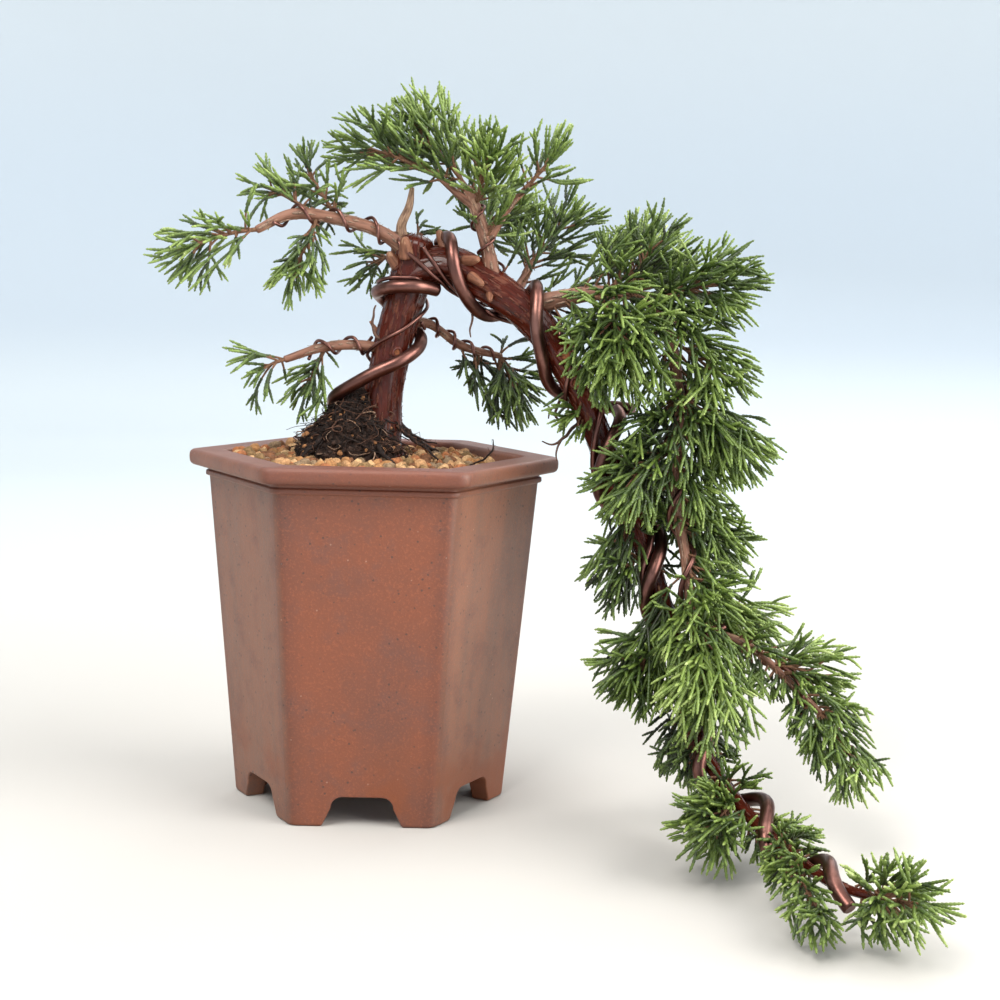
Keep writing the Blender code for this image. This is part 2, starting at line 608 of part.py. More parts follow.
def tube_rings(points, radii, sides):
    """Rings round a path of points, with a frame carried along it."""
    tangents = np.array([unit(v) for v in np.gradient(points, axis=0)])
    start = np.array([0.0, 0.0, 1.0]) if abs(tangents[0][2]) < 0.9 else np.array([1.0, 0.0, 0.0])
    front = unit(start - tangents[0] * (start @ tangents[0]))
    rings = []
    for point, tangent, radius in zip(points, tangents, np.broadcast_to(radii, len(points))):
        front = unit(front - tangent * (front @ tangent))
        side = np.cross(tangent, front)
        rings.append([point + radius * (math.cos(turn) * front + math.sin(turn) * side)
                      for turn in np.arange(sides) * 2 * math.pi / sides])
    return rings


def build_wires(lines):
    paths = {name: wire_path(rows, lines, radius * MM) for name, (radius, rows) in WIRES.items()}
    for name, points in paths.items():
        radius = WIRES[name][0] * MM
        solid(name, *skin_rings(tube_rings(points, radius, WIRE_SIDES)), WIRE)
        limbs_room.add(points, radius)
    return paths


# ================================================================ foliage
def heading(azimuth, rise):
    azimuth, rise = math.radians(azimuth), math.radians(rise)
    return np.array([math.cos(rise) * math.cos(azimuth), math.cos(rise) * math.sin(azimuth),
                     math.sin(rise)])


def arc(start, direction, length, bend, steps):
    """Points along a run that starts in a direction and turns by the bend vector."""
    share = np.linspace(0, 1, steps + 1)[:, None]
    return start + length * (share * direction + share**2 * bend)


class Mass:
    """One mass of foliage: a stem from its limb, with twigs and shoots that branch by a seeded rule."""

    def __init__(self, name, lines, row):
        line_name, along, azimuth, rise, length, sag, reach, seed = row
        self.name = name
        self.seed = seed
        self.draw = random.Random()
        self.reach = reach * MM
        line = lines[line_name]
        direction = heading(azimuth, rise)
        start = line.frame(line.length * along)[0]
        while limbs_room.gap(start, start + direction * 4 * MM) < STEM_RADIUS * MM + CLEAR * 1.3:
            start = start + direction * 0.15 * MM
        self.stem = arc(start, direction, length * MM, np.array([0, 0, -sag]), STEM_LEGS)

    def keeps_in(self, points, others):
        """Whether points are in this mass's own space, off the pot and above the ground."""
        for point in points:
            own = np.min(np.linalg.norm(self.stem - point, axis=1))
            flat = np.linalg.norm(point[:2] - POT_PLACE[:2])
            if own > self.reach or point[2] < GROUND_CLEAR * MM:
                return False
            if point[2] < POT_KEEP_ABOVE * MM and flat < POT_KEEP_OFF * MM:
                return False
            for other in others:
                if np.min(np.linalg.norm(other.stem - point, axis=1)) < own - BORDER_SLACK * MM:
                    return False
        return True

    def place(self, root, direction, size, half, others, own):
        """A shoot from a root, made shorter until it fits, or None; own are the mass's own shoots."""
        for share in (1.0, 0.8, 0.62):
            tip = root + direction * size * share
            bare = root + direction * max(0.18 * size * share, 1.6 * half)
            samples = [root + direction * size * share * part for part in (0.4, 0.7, 1.0)]
            if (self.keeps_in(samples, others) and limbs_room.gap(bare, tip) > half + CLEAR
                    and foliage_room.gap(bare, tip) > half + CLEAR and own.gap(bare, tip) > 0):
                own.add([bare, tip], half * 0.9)
                return root - direction * ROOT_SUNK * MM, tip
        return None

    def grow(self, others):
        """The mass's twigs, and the shoots on them, each as its sunk root and its tip."""
        twigs, shoots, own = [], [], Room()
        count = max(4, round(np.linalg.norm(self.stem[-1] - self.stem[0]) / (TWIG_SPACING * MM)))
        turn = self.draw.uniform(0, 2 * math.pi)
        for k in range(count + 1):
            share = 0.2 + 0.79 * k / count
            turn += GOLDEN_ANGLE
            lean = TWIG_LEAN * self.draw.uniform(0.85, 1.2) * (1.2 - 0.5 * share)
            size = self.reach * self.draw.uniform(0.9, 1.08)
            if k == count:
                lean = 0.1
            place = share * STEM_LEGS
            low = min(int(place), STEM_LEGS - 1)
            root = self.stem[low] + (place - low) * (self.stem[low + 1] - self.stem[low])
            forward = unit(self.stem[low + 1] - self.stem[low])
            across = unit(np.cross(forward, [0.13, 0.21, 0.97]))
            out = math.cos(turn) * across + math.sin(turn) * np.cross(forward, across)
            direction = unit(math.cos(lean) * forward + math.sin(lean) * out + [0, 0, LIFT])
            twig = self.place(root, direction, size, TWIG_HALF * MM, others, own)
            if twig is None:
                continue
            twigs.append(twig)
            shoots += self.side_shoots(*twig, others, own)
        return twigs, shoots

    def side_shoots(self, root, tip, others, own):
        """Shoots on alternate sides of a twig, near the plane of its spray."""
        found = []
        forward = unit(tip - root)
        flat = unit(np.cross(forward, [self.draw.uniform(-0.4, 0.4), self.draw.uniform(-0.4, 0.4), 1]))
        tilt = np.cross(forward, flat)
        for k in range(SHOOTS_ON_TWIG):
            share = 0.26 + 0.34 * k / (SHOOTS_ON_TWIG - 1)
            lean = SHOOT_LEAN * self.draw.uniform(0.85, 1.25)
            roll = self.draw.uniform(-0.5, 0.7)
            size = np.linalg.norm(tip - root) * self.draw.uniform(0.62, 0.78)
            out = (-1) ** k * math.cos(roll) * flat + math.sin(roll) * tilt
            direction = unit(math.cos(lean) * forward + math.sin(lean) * out + [0, 0, 0.1])
            shoot = self.place(root + (tip - root) * share, direction, size, SHOOT_HALF * MM,
                               others, own)
            if shoot is not None:
                found.append(shoot)
        return found


def spindle(root, tip, half):
    """A slim three-sided shoot, pointed at both ends and widest a third of the way along."""
    forward = unit(tip - root)
    across = unit(np.cross(forward, [0.31, 0.17, 0.93]))
    up = np.cross(forward, across)
    middle = root + (tip - root) * 0.36
    belt = [middle + half * (math.cos(turn) * across + math.sin(turn) * up)
            for turn in (0.0, 2 * math.pi / 3, 4 * math.pi / 3)]
    faces = [(0, 2, 1), (0, 3, 2), (0, 1, 3), (4, 1, 2), (4, 2, 3), (4, 3, 1)]
    return [root] + belt + [tip], faces


def build_mass(mass, others):
    """Fuses a mass's stem, twigs and shoots, drawing them anew where they don't close up."""
    stem_radii = np.linspace(STEM_RADIUS, STEM_TIP_RADIUS, len(mass.stem)) * MM
    for again in range(DRAWS):
        mass.draw.seed(mass.seed + again * len(MASSES))
        twigs, shoots = mass.grow(others)
        piece = solid(mass.name, *skin_rings(tube_rings(mass.stem, stem_radii, 3)), FOLIAGE)
        parts = [solid("twig", *spindle(root, tip, TWIG_HALF * MM), FOLIAGE) for root, tip in twigs]
        parts += [solid("shoot", *spindle(root, tip, SHOOT_HALF * MM), FOLIAGE)
                  for root, tip in shoots]
        if fuse(piece, parts):
            break
        bpy.data.objects.remove(piece)
    for root, tip in twigs + shoots:
        foliage_room.add([root, tip], TWIG_HALF * MM)
    foliage_room.add(mass.stem, stem_radii)


# ================================================================ the plant
for old in list(bpy.data.objects):
    bpy.data.objects.remove(old)

CLAY = material("pot_clay", (0.22, 0.085, 0.055), 0.42)
GRANULES = material("soil_granules", (0.33, 0.19, 0.10), 0.9)
ROOTS = material("root_mound", (0.030, 0.020, 0.016), 0.95)
BARK = material("juniper_bark", (0.21, 0.075, 0.045), 0.6)
DEAD_WOOD = material("bare_wood", (0.45, 0.33, 0.25), 0.75)
WIRE = material("anodised_wire", (0.22, 0.085, 0.06), 0.3, 1.0)
FOLIAGE = material("juniper_foliage", (0.06, 0.13, 0.035), 0.6)


def build_plant():
    lines = {"trunk": Line(TRUNK), "cascade": Line(CASCADE), "side_line": Line(SIDE_LINE)}
    lines.update({name: Line(rows) for name, rows in BOUGHS.items()})
    build_pot()
    build_soil()
    near_lines = []
    trunk = lines["trunk"]
    build_limb("trunk", trunk, 0.0, trunk.length, BARK, near_lines)
    build_chain(lines["cascade"], CASCADE_PIECES, BARK, near_lines)
    build_chain(lines["side_line"], SIDE_PIECES, BARK, near_lines)
    for name in BOUGHS:
        finish = DEAD_WOOD if name == "jin" else BARK
        build_limb(name, lines[name], 0.0, lines[name].length, finish, near_lines)
    wires = build_wires(lines)
    build_mound(near_lines[0], wires["wire_trunk"])
    masses = [Mass(name, lines, row) for name, row in MASSES.items()]
    for mass in masses:
        build_mass(mass, [other for other in masses if other is not mass])


build_plant()
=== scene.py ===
"""The looks of a cascade juniper bonsai in its tall hexagonal pot.

The satin clay pot, its granules and the mound of bared roots come first, then the limbs with their
bark, the copper-brown wire and the foliage.  Foliage grows by the same seeded rule as the part's
masses, carried on to whipcord shoots that are threaded with scale leaves.
Tables are in millimetres, measured from the middle of the pot's foot, +X to the right, +Y to the
back and +Z up; the scene is in metres.
"""
import math
import random

import bmesh
import bpy
import numpy as np
from mathutils import Matrix, Vector, noise


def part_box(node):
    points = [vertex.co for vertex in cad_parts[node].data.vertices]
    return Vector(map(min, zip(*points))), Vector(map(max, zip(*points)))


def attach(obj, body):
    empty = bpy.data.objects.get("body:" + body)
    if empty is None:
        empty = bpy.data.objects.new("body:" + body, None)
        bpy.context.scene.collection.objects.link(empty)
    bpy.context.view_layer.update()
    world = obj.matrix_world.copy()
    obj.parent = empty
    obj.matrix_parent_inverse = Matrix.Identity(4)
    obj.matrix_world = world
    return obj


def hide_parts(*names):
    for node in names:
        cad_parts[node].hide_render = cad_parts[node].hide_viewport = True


noise.seed_set(1)              # noise_vector would take its seed from the clock

MM = 0.001
CLEAR = 0.32 * MM              # the gap that the solids of the part keep

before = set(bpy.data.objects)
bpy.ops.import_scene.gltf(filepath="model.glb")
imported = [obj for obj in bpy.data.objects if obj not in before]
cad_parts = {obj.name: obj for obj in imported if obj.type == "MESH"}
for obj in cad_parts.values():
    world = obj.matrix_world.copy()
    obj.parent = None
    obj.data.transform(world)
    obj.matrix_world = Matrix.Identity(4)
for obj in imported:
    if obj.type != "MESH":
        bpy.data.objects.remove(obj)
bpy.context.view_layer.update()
POT_PLACE = np.array([sum(ends) / 2 for ends in zip(*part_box("pot"))]) * (1, 1, 0)

# ---------------------------------------------------------------- camera, from the pot's foot
CAMERA_PLACE = (32.8, -704.9, 211.8)
CAMERA_YAW = 1.463
CAMERA_PITCH = -7.262
CAMERA_ROLL = 1.465
LENS = 63.5                    # for a sensor 36 wide

# ---------------------------------------------------------------- driving sizes of the pot
POT_HEIGHT = 140.0
RIM_RADIUS = 75.0              # to a corner of the lip
FOOT_RADIUS = 55.2             # to a corner of the foot
BODY_TOP_RADIUS = 66.6         # to a corner of the wall, just under the bead
BODY_TOP = 129.6
CAVITY_TOP_RADIUS = 60.0
CAVITY_FOOT_RADIUS = 49.0
FLOOR_TOP = 20.0
RECESS = 12.6                  # how far the underside is hollowed
FOOT_RING = 9.0
CORNER_ROUND = 5.0
POT_TURN = math.radians(-0.5)
ARCH_HEIGHT = 12.0
ARCH_FOOT = 32.0
ARCH_TOP = 24.0
ARCH_ROUND = 4.5
SIDES = 6
CORNER_SLOPE = 1.732           # depth over width on the way to the front's two corners, from above

# radius to a corner, rounding of the six corners, height, and how far the edge there is rounded
POT_PROFILE = [
    (FOOT_RADIUS - FOOT_RING + 0.4, 2.5, RECESS, 1.5),
    (FOOT_RADIUS - FOOT_RING, 2.5, 0.0, 0.9),
    (FOOT_RADIUS, CORNER_ROUND, 0.0, 1.6),
    (BODY_TOP_RADIUS, CORNER_ROUND, BODY_TOP, 0.5),
    (BODY_TOP_RADIUS + 1.5, CORNER_ROUND, BODY_TOP + 0.1, 0.9),
    (BODY_TOP_RADIUS + 1.5, CORNER_ROUND, BODY_TOP + 2.0, 0.8),
    (BODY_TOP_RADIUS + 0.5, CORNER_ROUND, BODY_TOP + 2.4, 0.3),
    (BODY_TOP_RADIUS + 0.9, CORNER_ROUND, BODY_TOP + 3.7, 0.5),
    (RIM_RADIUS - 0.3, CORNER_ROUND + 1, BODY_TOP + 4.3, 2.2),
    (RIM_RADIUS, CORNER_ROUND + 1, POT_HEIGHT, 2.7),
    (CAVITY_TOP_RADIUS, CORNER_ROUND, POT_HEIGHT, 1.7),
    (CAVITY_FOOT_RADIUS, CORNER_ROUND, FLOOR_TOP, 2.0),
]

# ---------------------------------------------------------------- soil and root mound
SOIL_MIDDLE = 138.4
SOIL_TILT = -0.045             # the heap falls towards +X
SOIL_EDGE_DROP = 1.5
SOIL_LUMP = 2.6                # lumps of granules rise and sink by about half of this
SOIL_LUMP_SPACING = 13.0
SOIL_SUNK = 1.6                # the granules' bed lies this far under the heap's own top
# what is strewn over the bed: spacing, half a lump's length, how far its middle lies under the
# soil's top, and how finely it is cut
STREWN = {"granules": (4.0, 3.1, 1.0, 2), "chips": (2.4, 1.15, 0.9, 1)}
LUMP_KINDS = 6
GRANULE_COLOURS = {"tan": (186, 142, 100), "ochre": (174, 126, 82), "rust": (168, 108, 70),
                   "grey": (142, 118, 92), "olive": (134, 106, 72), "pale": (200, 160, 116),
                   "brown": (124, 84, 58)}
MOUND_MIDDLE = (-10.0, -4.0)
MOUND_TOP = (-7.0, -1.0, 166.0)
MOUND_SPREAD = (21.0, 17.0)
MOUND_CROWN = (7.0, 6.5)
MOUND_SIDES = 110
HAIR_ROOTS = 560
HAIR_ROOT_RADIUS = 0.2
HAIR_COLOURS = {"dark": (36, 26, 22), "brown": (88, 60, 46), "silver": (158, 128, 106)}
# roots that lie over the mound and the soil: x, y, z and radius
SURFACE_ROOTS = [
    [(5, -1, 156, 1.7), (10, -5, 150.5, 1.2), (15, -9, 147, 0.8), (20, -12, 144, 0.7),
     (26, -17, 139, 0.4)],
    [(12, -6, 149, 0.6), (17, -6, 147.5, 0.5), (22, -7, 145.5, 0.4), (25, -7, 145, 0.25)],
    [(-2, -3, 158, 2.0), (-12, -8, 153, 1.7), (-21, -13, 146, 1.3), (-27, -17, 139.5, 0.7)],
    [(2, -5, 152, 1.9), (0, -12, 147, 1.6), (4, -18, 141.5, 1.0), (9, -23, 138, 0.5)],
    [(8, 5, 152, 1.9), (15, 10, 146, 1.4), (23, 17, 140, 0.8), (28, 23, 138, 0.4)],
    [(38, -25, 138.5, 0.3), (43, -27, 141, 0.4), (46.5, -28, 145, 0.35), (46.8, -28, 149, 0.2)],
]

# ---------------------------------------------------------------- limbs: x, y, z and radius
TRUNK = [(1, 0, 138.8, 12.0), (1, 0, 143, 10.0), (2, 0, 151, 8.6), (4, -1, 170, 7.5), (9, -1, 194, 7.4),
         (13, 0, 209, 7.9), (15, 0, 223, 7.2)]
CASCADE = [(9, 0, 210, 7.4), (26, -1, 215, 7.8), (47, -5, 206, 7.4), (67, -10, 189, 6.3),
           (81, -14, 166, 5.4), (93, -17, 139, 4.9), (103, -21, 117, 4.3), (112, -29, 94, 3.7),
           (120, -42, 67, 3.2), (127, -61, 38, 2.8), (137, -85, 25, 2.5), (150, -118, 17, 2.1),
           (162, -147, 15, 1.8), (172, -166, 17, 1.3)]
SIDE_LINE = [(57, -8, 199, 4.2), (72, -8, 203, 3.4), (88, -8, 206, 3.0), (103, -11, 205, 2.7),
             (113, -18, 192, 2.5), (118, -26, 165, 2.3), (117, -30, 138, 2.2), (121, -36, 110, 2.0),
             (128, -46, 82, 1.8), (145, -52, 75, 1.5), (160, -60, 63, 1.2), (171, -66, 53, 1.0)]
BOUGHS = {
    "left_high_bough": [(13, 0, 219, 3.2), (2, -4, 227, 2.6), (-16, -8, 232, 2.3),
                        (-34, -11, 233, 2.0), (-46, -13, 227, 1.6)],
    "left_low_bough": [(6, -1, 181, 2.4), (-6, -4, 183, 2.1), (-20, -8, 182, 1.8),
                       (-35, -10, 177, 1.4)],
    "jin": [(12, 2, 219, 2.8), (9, 2, 230, 2.0), (12, 2, 238, 1.6), (13, 3, 245, 0.9)],
    "crown_bough": [(46, -5, 207, 4.0), (44, -6, 219, 2.9), (39, -5, 235, 2.5),
                    (35, -4, 245, 2.1)],
    "crown_left_twig": [(38, -5, 238, 1.9), (31, -5, 243, 1.5), (24, -5, 249, 1.2)],
    "crown_right_twig": [(44, -6, 226, 1.8), (51, -7, 238, 1.4), (59, -8, 247, 1.1)],
    "back_high_bough": [(53, -4, 203, 2.6), (58, 8, 210, 1.9), (61, 16, 217, 1.4)],
    "inner_bough": [(11, 0, 193, 2.4), (20, 5, 192, 1.8), (34, 12, 183, 1.7), (50, 17, 179, 1.3)],
}
# piece: the line it follows, and the nodes that it stands for
LIMB_PIECES = {
    "trunk_bark": ("trunk", ["trunk"]),
    "cascade_bark": ("cascade", ["shoulder", "arm", "fall", "tail"]),
    "side_line_bark": ("side_line", ["right_bough", "second_fall", "side_branch"]),
    "left_high_bark": ("left_high_bough", ["left_high_bough"]),
    "left_low_bark": ("left_low_bough", ["left_low_bough"]),
    "jin_wood": ("jin", ["jin"]),
    "crown_bark": ("crown_bough", ["crown_bough"]),
    "crown_left_bark": ("crown_left_twig", ["crown_left_twig"]),
    "crown_right_bark": ("crown_right_twig", ["crown_right_twig"]),
    "back_high_bark": ("back_high_bough", ["back_high_bough"]),
    "inner_bark": ("inner_bough", ["inner_bough"]),
}
RING_STEP = 0.8                # between rings of bark
FIBRE = 0.9                    # between ridges of bark
FLAKE_KINDS = 5
FLAKE_SPACING = 2.6
# the smallest and the largest strip of bark: its length, three times its width and four times its lift
FLAKE_SMALLEST = (1.8 * MM, 1.6 * MM, 0.9 * MM)
FLAKE_LARGEST = (6.0 * MM, 4.2 * MM, 2.6 * MM)

# ---------------------------------------------------------------- foliage masses
# each piece that masses are joined into: how far the tips of its shoots turn up (down where below
# 0) as a share of their length, how many twigs each mass grows straight from its limb, and its
# masses: line, share along it, heading and rise of the stem in degrees, its length, how far its tip
# sags (as a share of the length), how far the mass reaches from it, and its tone of green: lower
# for masses inside, underneath or at the back, as painted shade, and higher for those on top or
# at the front, as painted light
FOLIAGE = {
    "left_shoots": (-0.13, 0, {
        "left_tip": ("left_high_bough", 1.0, -158, -6, 26, 0.18, 17, 0.3),
        "left_crest": ("left_high_bough", 0.64, 167, 33, 21, 0.1, 15, 0.0),
        "left_back_crest": ("left_high_bough", 0.5, 137, 45, 25, -0.05, 15, 0.0),
        "left_pendant": ("left_high_bough", 0.62, -135, -60, 24, 0.1, 13, 0.0),
        "left_low_tip": ("left_low_bough", 1.0, -155, -14, 9, 0.15, 17, 0.0),
        "left_low_under": ("left_low_bough", 0.62, 142, -60, 19, 0.0, 14, -0.4),
        "back_left": ("trunk", 0.95, 134, 4, 26, 0.2, 16, -0.4),
        "top_sprig": ("trunk", 0.98, 85, 40, 12, 0.05, 16, 0.0),
    }),
    "crown_shoots": (0.12, 4, {
        "crown_left": ("crown_left_twig", 1.0, -174, 26, 30, 0.1, 19, 0.0),
        "crown_top": ("crown_bough", 1.0, 158, 50, 34, 0.08, 18, 0.3),
        "crown_middle": ("crown_bough", 0.8, -67, 60, 21, 0.0, 17, 0.4),
        "crown_right": ("crown_right_twig", 1.0, -15, 53, 12, 0.08, 17, 0.0),
        "crown_back": ("crown_bough", 0.48, 77, 26, 27, 0.05, 19, 0.0),
    }),
    "top_right_shoots": (0.06, 10, {
        "back_high": ("back_high_bough", 1.0, 37, 45, 22, 0.05, 20, 0.0),
        "right_top": ("side_line", 0.18, 30, 62, 21, 0.05, 19, 0.0),
        "right_back": ("side_line", 0.14, 56, 23, 38, 0.1, 22, 0.0),
    }),
    "right_shoots": (-0.14, 22, {
        "right_front": ("side_line", 0.13, -76, -20, 36, 0.2, 24, 0.0),
        "right_far": ("side_line", 0.22, -28, 25, 28, 0.15, 22, 0.0),
        "right_middle": ("side_line", 0.29, -41, -22, 21, 0.15, 21, 0.0),
        "inner": ("inner_bough", 1.0, 49, -54, 14, 0.05, 20, -0.8),
        "arm_sprig": ("cascade", 0.28, -137, -9, 10, 0.15, 11, 0.0),
    }),
    "fall_shoots": (-0.15, 36, {
        "fall_right": ("side_line", 0.38, -12, -35, 24, 0.15, 21, 0.0),
        "fall_right_low": ("side_line", 0.54, 27, -41, 25, 0.15, 19, 0.0),
        "fall_left": ("side_line", 0.46, -145, -27, 24, 0.12, 20, -0.5),
        "fall_back": ("cascade", 0.39, 64, 5, 37, 0.15, 22, -0.6),
        "fall_left_low": ("cascade", 0.45, -149, -24, 12, 0.1, 19, -0.8),
    }),
    "middle_shoots": (-0.2, 36, {
        "middle_left": ("cascade", 0.54, -127, -16, 24, 0.15, 20, -0.3),
        "middle_right": ("side_line", 0.7, 22, -19, 28, 0.1, 19, 0.4),
        "middle_front": ("side_line", 0.75, -86, -30, 35, 0.2, 21, 0.5),
    }),
    "low_shoots": (-0.12, 42, {
        "side_top": ("side_line", 0.89, -4, -4, 18, 0.15, 16, 0.4),
        "side_end": ("side_line", 1.0, -53, -42, 23, 0.0, 16, 0.0),
        "low_back": ("cascade", 0.66, 94, -19, 24, 0.1, 18, -0.8),
        "tail_left": ("cascade", 0.75, -116, -7, 25, 0.05, 17, 0.0),
        "tail_right": ("cascade", 0.81, 46, -11, 16, 0.1, 13, 0.0),
        "tail_under": ("cascade", 0.86, -90, -2, 50, 0.05, 13, 0.0),
        "tail_end": ("cascade", 1.0, -70, 20, 15, 0.05, 16, 0.5),
    }),
}
# tones from the darkest, for old growth and for painted shade deep in the foliage, to the palest tips;
# a mass's tone counts from the middle one
GREENS = [(31, 39, 12), (43, 58, 18), (63, 83, 27), (88, 108, 40), (115, 136, 60), (146, 164, 88),
          (178, 192, 124)]
MIDDLE_TONE = 3.0

STEM_LEGS = 4
STEM_RADIUS = 0.95
TWIG_SPACING = 1.15                   # along the stem
TWIG_DRAWS = 3                        # a twig is the best of so many, the one with most room
TWIG_LEANS = (18, 96)                 # degrees between a twig and its stem
TWIG_REACHES = (0.58, 0.7, 0.84, 1.0, 1.1)    # how far a twig may reach, as shares of its mass's
TWIG_HANGS = (-0.5, 2.6)              # how far a twig hangs, least and most, as shares of its mass's
TWIG_SHORTER = (1.0, 0.8, 0.62, 0.45)         # the lengths that a run is tried at, until it fits
GOLDEN_ANGLE = math.radians(137.5)
TWIG_RADIUS = 0.45
SHOOT_RADIUS = 0.76
SHOOT_LEAN = math.radians(36)
SHOOT_SPACING = 3.7                   # along a twig
SHOOT_LENGTH = 1.0                    # as a share of the twig, near its foot
SMALL_SHOOT_SPACING = 5.6             # along a shoot
SMALL_SHOOT_LENGTH = 0.78
LIFT = 0.16                           # how far twigs turn up towards the light
BORDER_SLACK = 12.0                   # how far a shoot may pass the middle between two stems
GROUND_CLEAR = 2.5
POT_KEEP_OFF = 78.0                   # foliage over the pot stays this far from its middle,
POT_KEEP_ABOVE = 148.0                # or above this height
LEAF_PITCH = 1.2                      # between pairs of scale leaves along a shoot
LEAF_SIDES = 6
LEAF_TIP = 2.8                        # how far a pair's tip lies past its belt, in pitches

# ---------------------------------------------------------------- wire
# its radius, the line that it coils round, and each listed place on it: the share along that line,
# its turn in degrees and how far it stands off the bark.  The turn grows along the wire, and is
# 0 at the front and 90 at the right of the upright trunk.
WIRES = {
    "wire_trunk": (2.6, "trunk", [(0.21, -104, 9.0), (0.275, -70, 9.0), (0.33, -50, 4.0),
        (0.395, -25, 1.0), (0.445, 15, 0.0), (0.56, 80, 0.0), (0.66, 165, 0.0), (0.75, 255, 0.0),
        (0.79, 355, 0.0), (0.85, 425, 0.0)]),
    "wire_shoulder": (2.6, "cascade", [(0.045, 590, 0.0), (0.055, 640, 0.0), (0.06, 700, 0.0),
        (0.08, 745, 1.0), (0.1, 775, 0.0), (0.125, 820, 0.0), (0.14, 910, 0.0), (0.145, 990, 2.0),
        (0.165, 1055, 0.5), (0.19, 1095, 1.0), (0.22, 1120, 0.0), (0.25, 1190, 0.0),
        (0.275, 1270, 1.0)]),
    "wire_arm": (2.6, "cascade", [(0.295, 1310, 4.0), (0.305, 1350, 4.0), (0.32, 1405, 1.0),
        (0.34, 1445, 0.0), (0.365, 1495, 0.0), (0.42, 1650, 0.0), (0.48, 1800, 0.0),
        (0.54, 1950, 0.0)]),
    "wire_tail": (2.6, "cascade", [(0.6, 1980, 0.0), (0.685, 2130, 0.0), (0.71, 2245, 2.0),
        (0.755, 2390, 0.0), (0.77, 2425, 4.0), (0.8, 2455, 3.0), (0.83, 2530, 0.0), (0.86, 2640, 1.0),
        (0.875, 2745, 0.0), (0.91, 2800, 0.0), (0.945, 2890, 0.0), (0.97, 2970, 1.5)]),
    "wire_second": (1.05, "side_line", [(0.37, -150, 0.0), (0.4, -80, 0.0), (0.475, 90, 1.0),
        (0.535, 290, 0.0), (0.575, 410, 0.5), (0.61, 480, 0.5), (0.655, 660, 0.0), (0.7, 755, 1.0),
        (0.725, 800, 1.0), (0.76, 930, 0.5)]),
}
# wires in no solid, written as the ones above: thin strands, and two lengths that join thick coils
THIN_WIRES = {
    "top_loop_strand": (0.8, "trunk", [(0.72, 180, 0.0), (0.79, 265, 0.0), (0.82, 320, 0.0),
        (0.85, 370, 0.0), (0.87, 450, 0.0), (0.92, 570, 0.0)]),
    "trunk_strand": (0.75, "trunk", [(0.41, 215, 0.0), (0.47, 275, 0.0), (0.56, 350, 0.0),
        (0.63, 395, 0.0), (0.71, 420, 0.0), (0.79, 500, 0.0), (0.9, 640, 0.0)]),
    "shoulder_strand": (0.85, "cascade", [(0.03, 290, 0.0), (0.042, 350, 0.5), (0.06, 395, 0.5),
        (0.085, 430, 0.5), (0.12, 447, 0.5), (0.17, 520, 0.0), (0.21, 640, 0.0), (0.27, 790, 0.0)]),
    "shoulder_low_strand": (0.85, "cascade", [(0.02, 300, 0.0), (0.03, 355, 0.5), (0.046, 410, 0.5),
        (0.075, 446, 0.5), (0.105, 465, 0.5), (0.15, 540, 0.0), (0.2, 680, 0.0)]),
    "arm_strand": (1.3, "cascade", [(0.25, 170, 0.0), (0.27, 250, 0.0), (0.295, 330, 0.5),
        (0.33, 388, 0.5), (0.38, 480, 0.0), (0.46, 700, 0.0), (0.55, 900, 0.0)]),
    "left_high_strand": (0.7, "left_high_bough", [(0.03, 0, 0.0), (0.9, 1440, 0.0)]),
    "left_low_strand": (0.7, "left_low_bough", [(0.1, 90, 0.0), (0.8, 1000, 0.0)]),
    "inner_strand": (0.65, "inner_bough", [(0.12, 0, 0.0), (0.94, 1500, 0.0)]),
    "crown_strand": (0.6, "crown_bough", [(0.12, 60, 0.0), (0.5, 460, 0.4), (0.85, 900, 0.0)]),
    "side_line_loop": (1.05, "side_line", [(0.8, 1000, 0.0), (0.785, 1060, 1.0), (0.77, 1100, 6.0),
        (0.765, 1135, 14.0)]),
    "shoulder_to_arm": (2.6, "cascade", [(0.27, 1252, 1.0), (0.285, 1288, 2.5), (0.298, 1320, 4.0)]),
    "arm_to_tail": (2.6, "cascade", [(0.535, 1935, 0.0), (0.57, 1965, 0.0), (0.605, 1992, 0.0)]),
    "side_branch_strand": (0.9, "side_line", [(0.87, 1180, 0.0), (0.92, 1345, 0.5), (0.96, 1390, 0.5),
        (0.972, 1490, 0.5), (0.985, 1600, 0.5)]),
}
# broken pegs of dead wood: line, share along it, turn in degrees, length, radius, and how far each
# leans along its limb
PEGS = [
    ("cascade", 0.05, 262, 6.0, 2.4, -0.5), ("cascade", 0.075, 325, 6.5, 2.0, 0.9),
    ("cascade", 0.09, 0, 6.0, 1.8, 1.4), ("cascade", 0.115, 20, 4.0, 1.3, 0.5),
    ("cascade", 0.16, 220, 5.0, 1.6, 0.8), ("cascade", 0.345, 250, 5.0, 1.2, 0.6),
    ("trunk", 0.57, 268, 4.5, 0.8, 0.8), ("trunk", 0.90, 300, 5.0, 2.2, 0.9),
    ("trunk", 0.955, 335, 6.0, 2.6, 2.0), ("trunk", 0.965, 250, 6.5, 2.4, 2.6),
    ("trunk", 0.96, 200, 6.0, 2.2, 2.2), ("trunk", 0.96, 150, 5.0, 2.4, 2.0),
    ("side_line", 0.12, 200, 4.0, 1.2, 0.6), ("side_line", 0.30, 150, 4.0, 1.0, 0.8),
]
# pruning scars, healed round their edges: line, share, turn and radius
SCARS = [("cascade", 0.22, 335, 2.3), ("cascade", 0.252, 345, 1.9), ("trunk", 0.5, 20, 1.6),
         ("trunk", 0.62, 190, 2.0), ("cascade", 0.20, 150, 2.1)]
SCAR_SIDES = 20
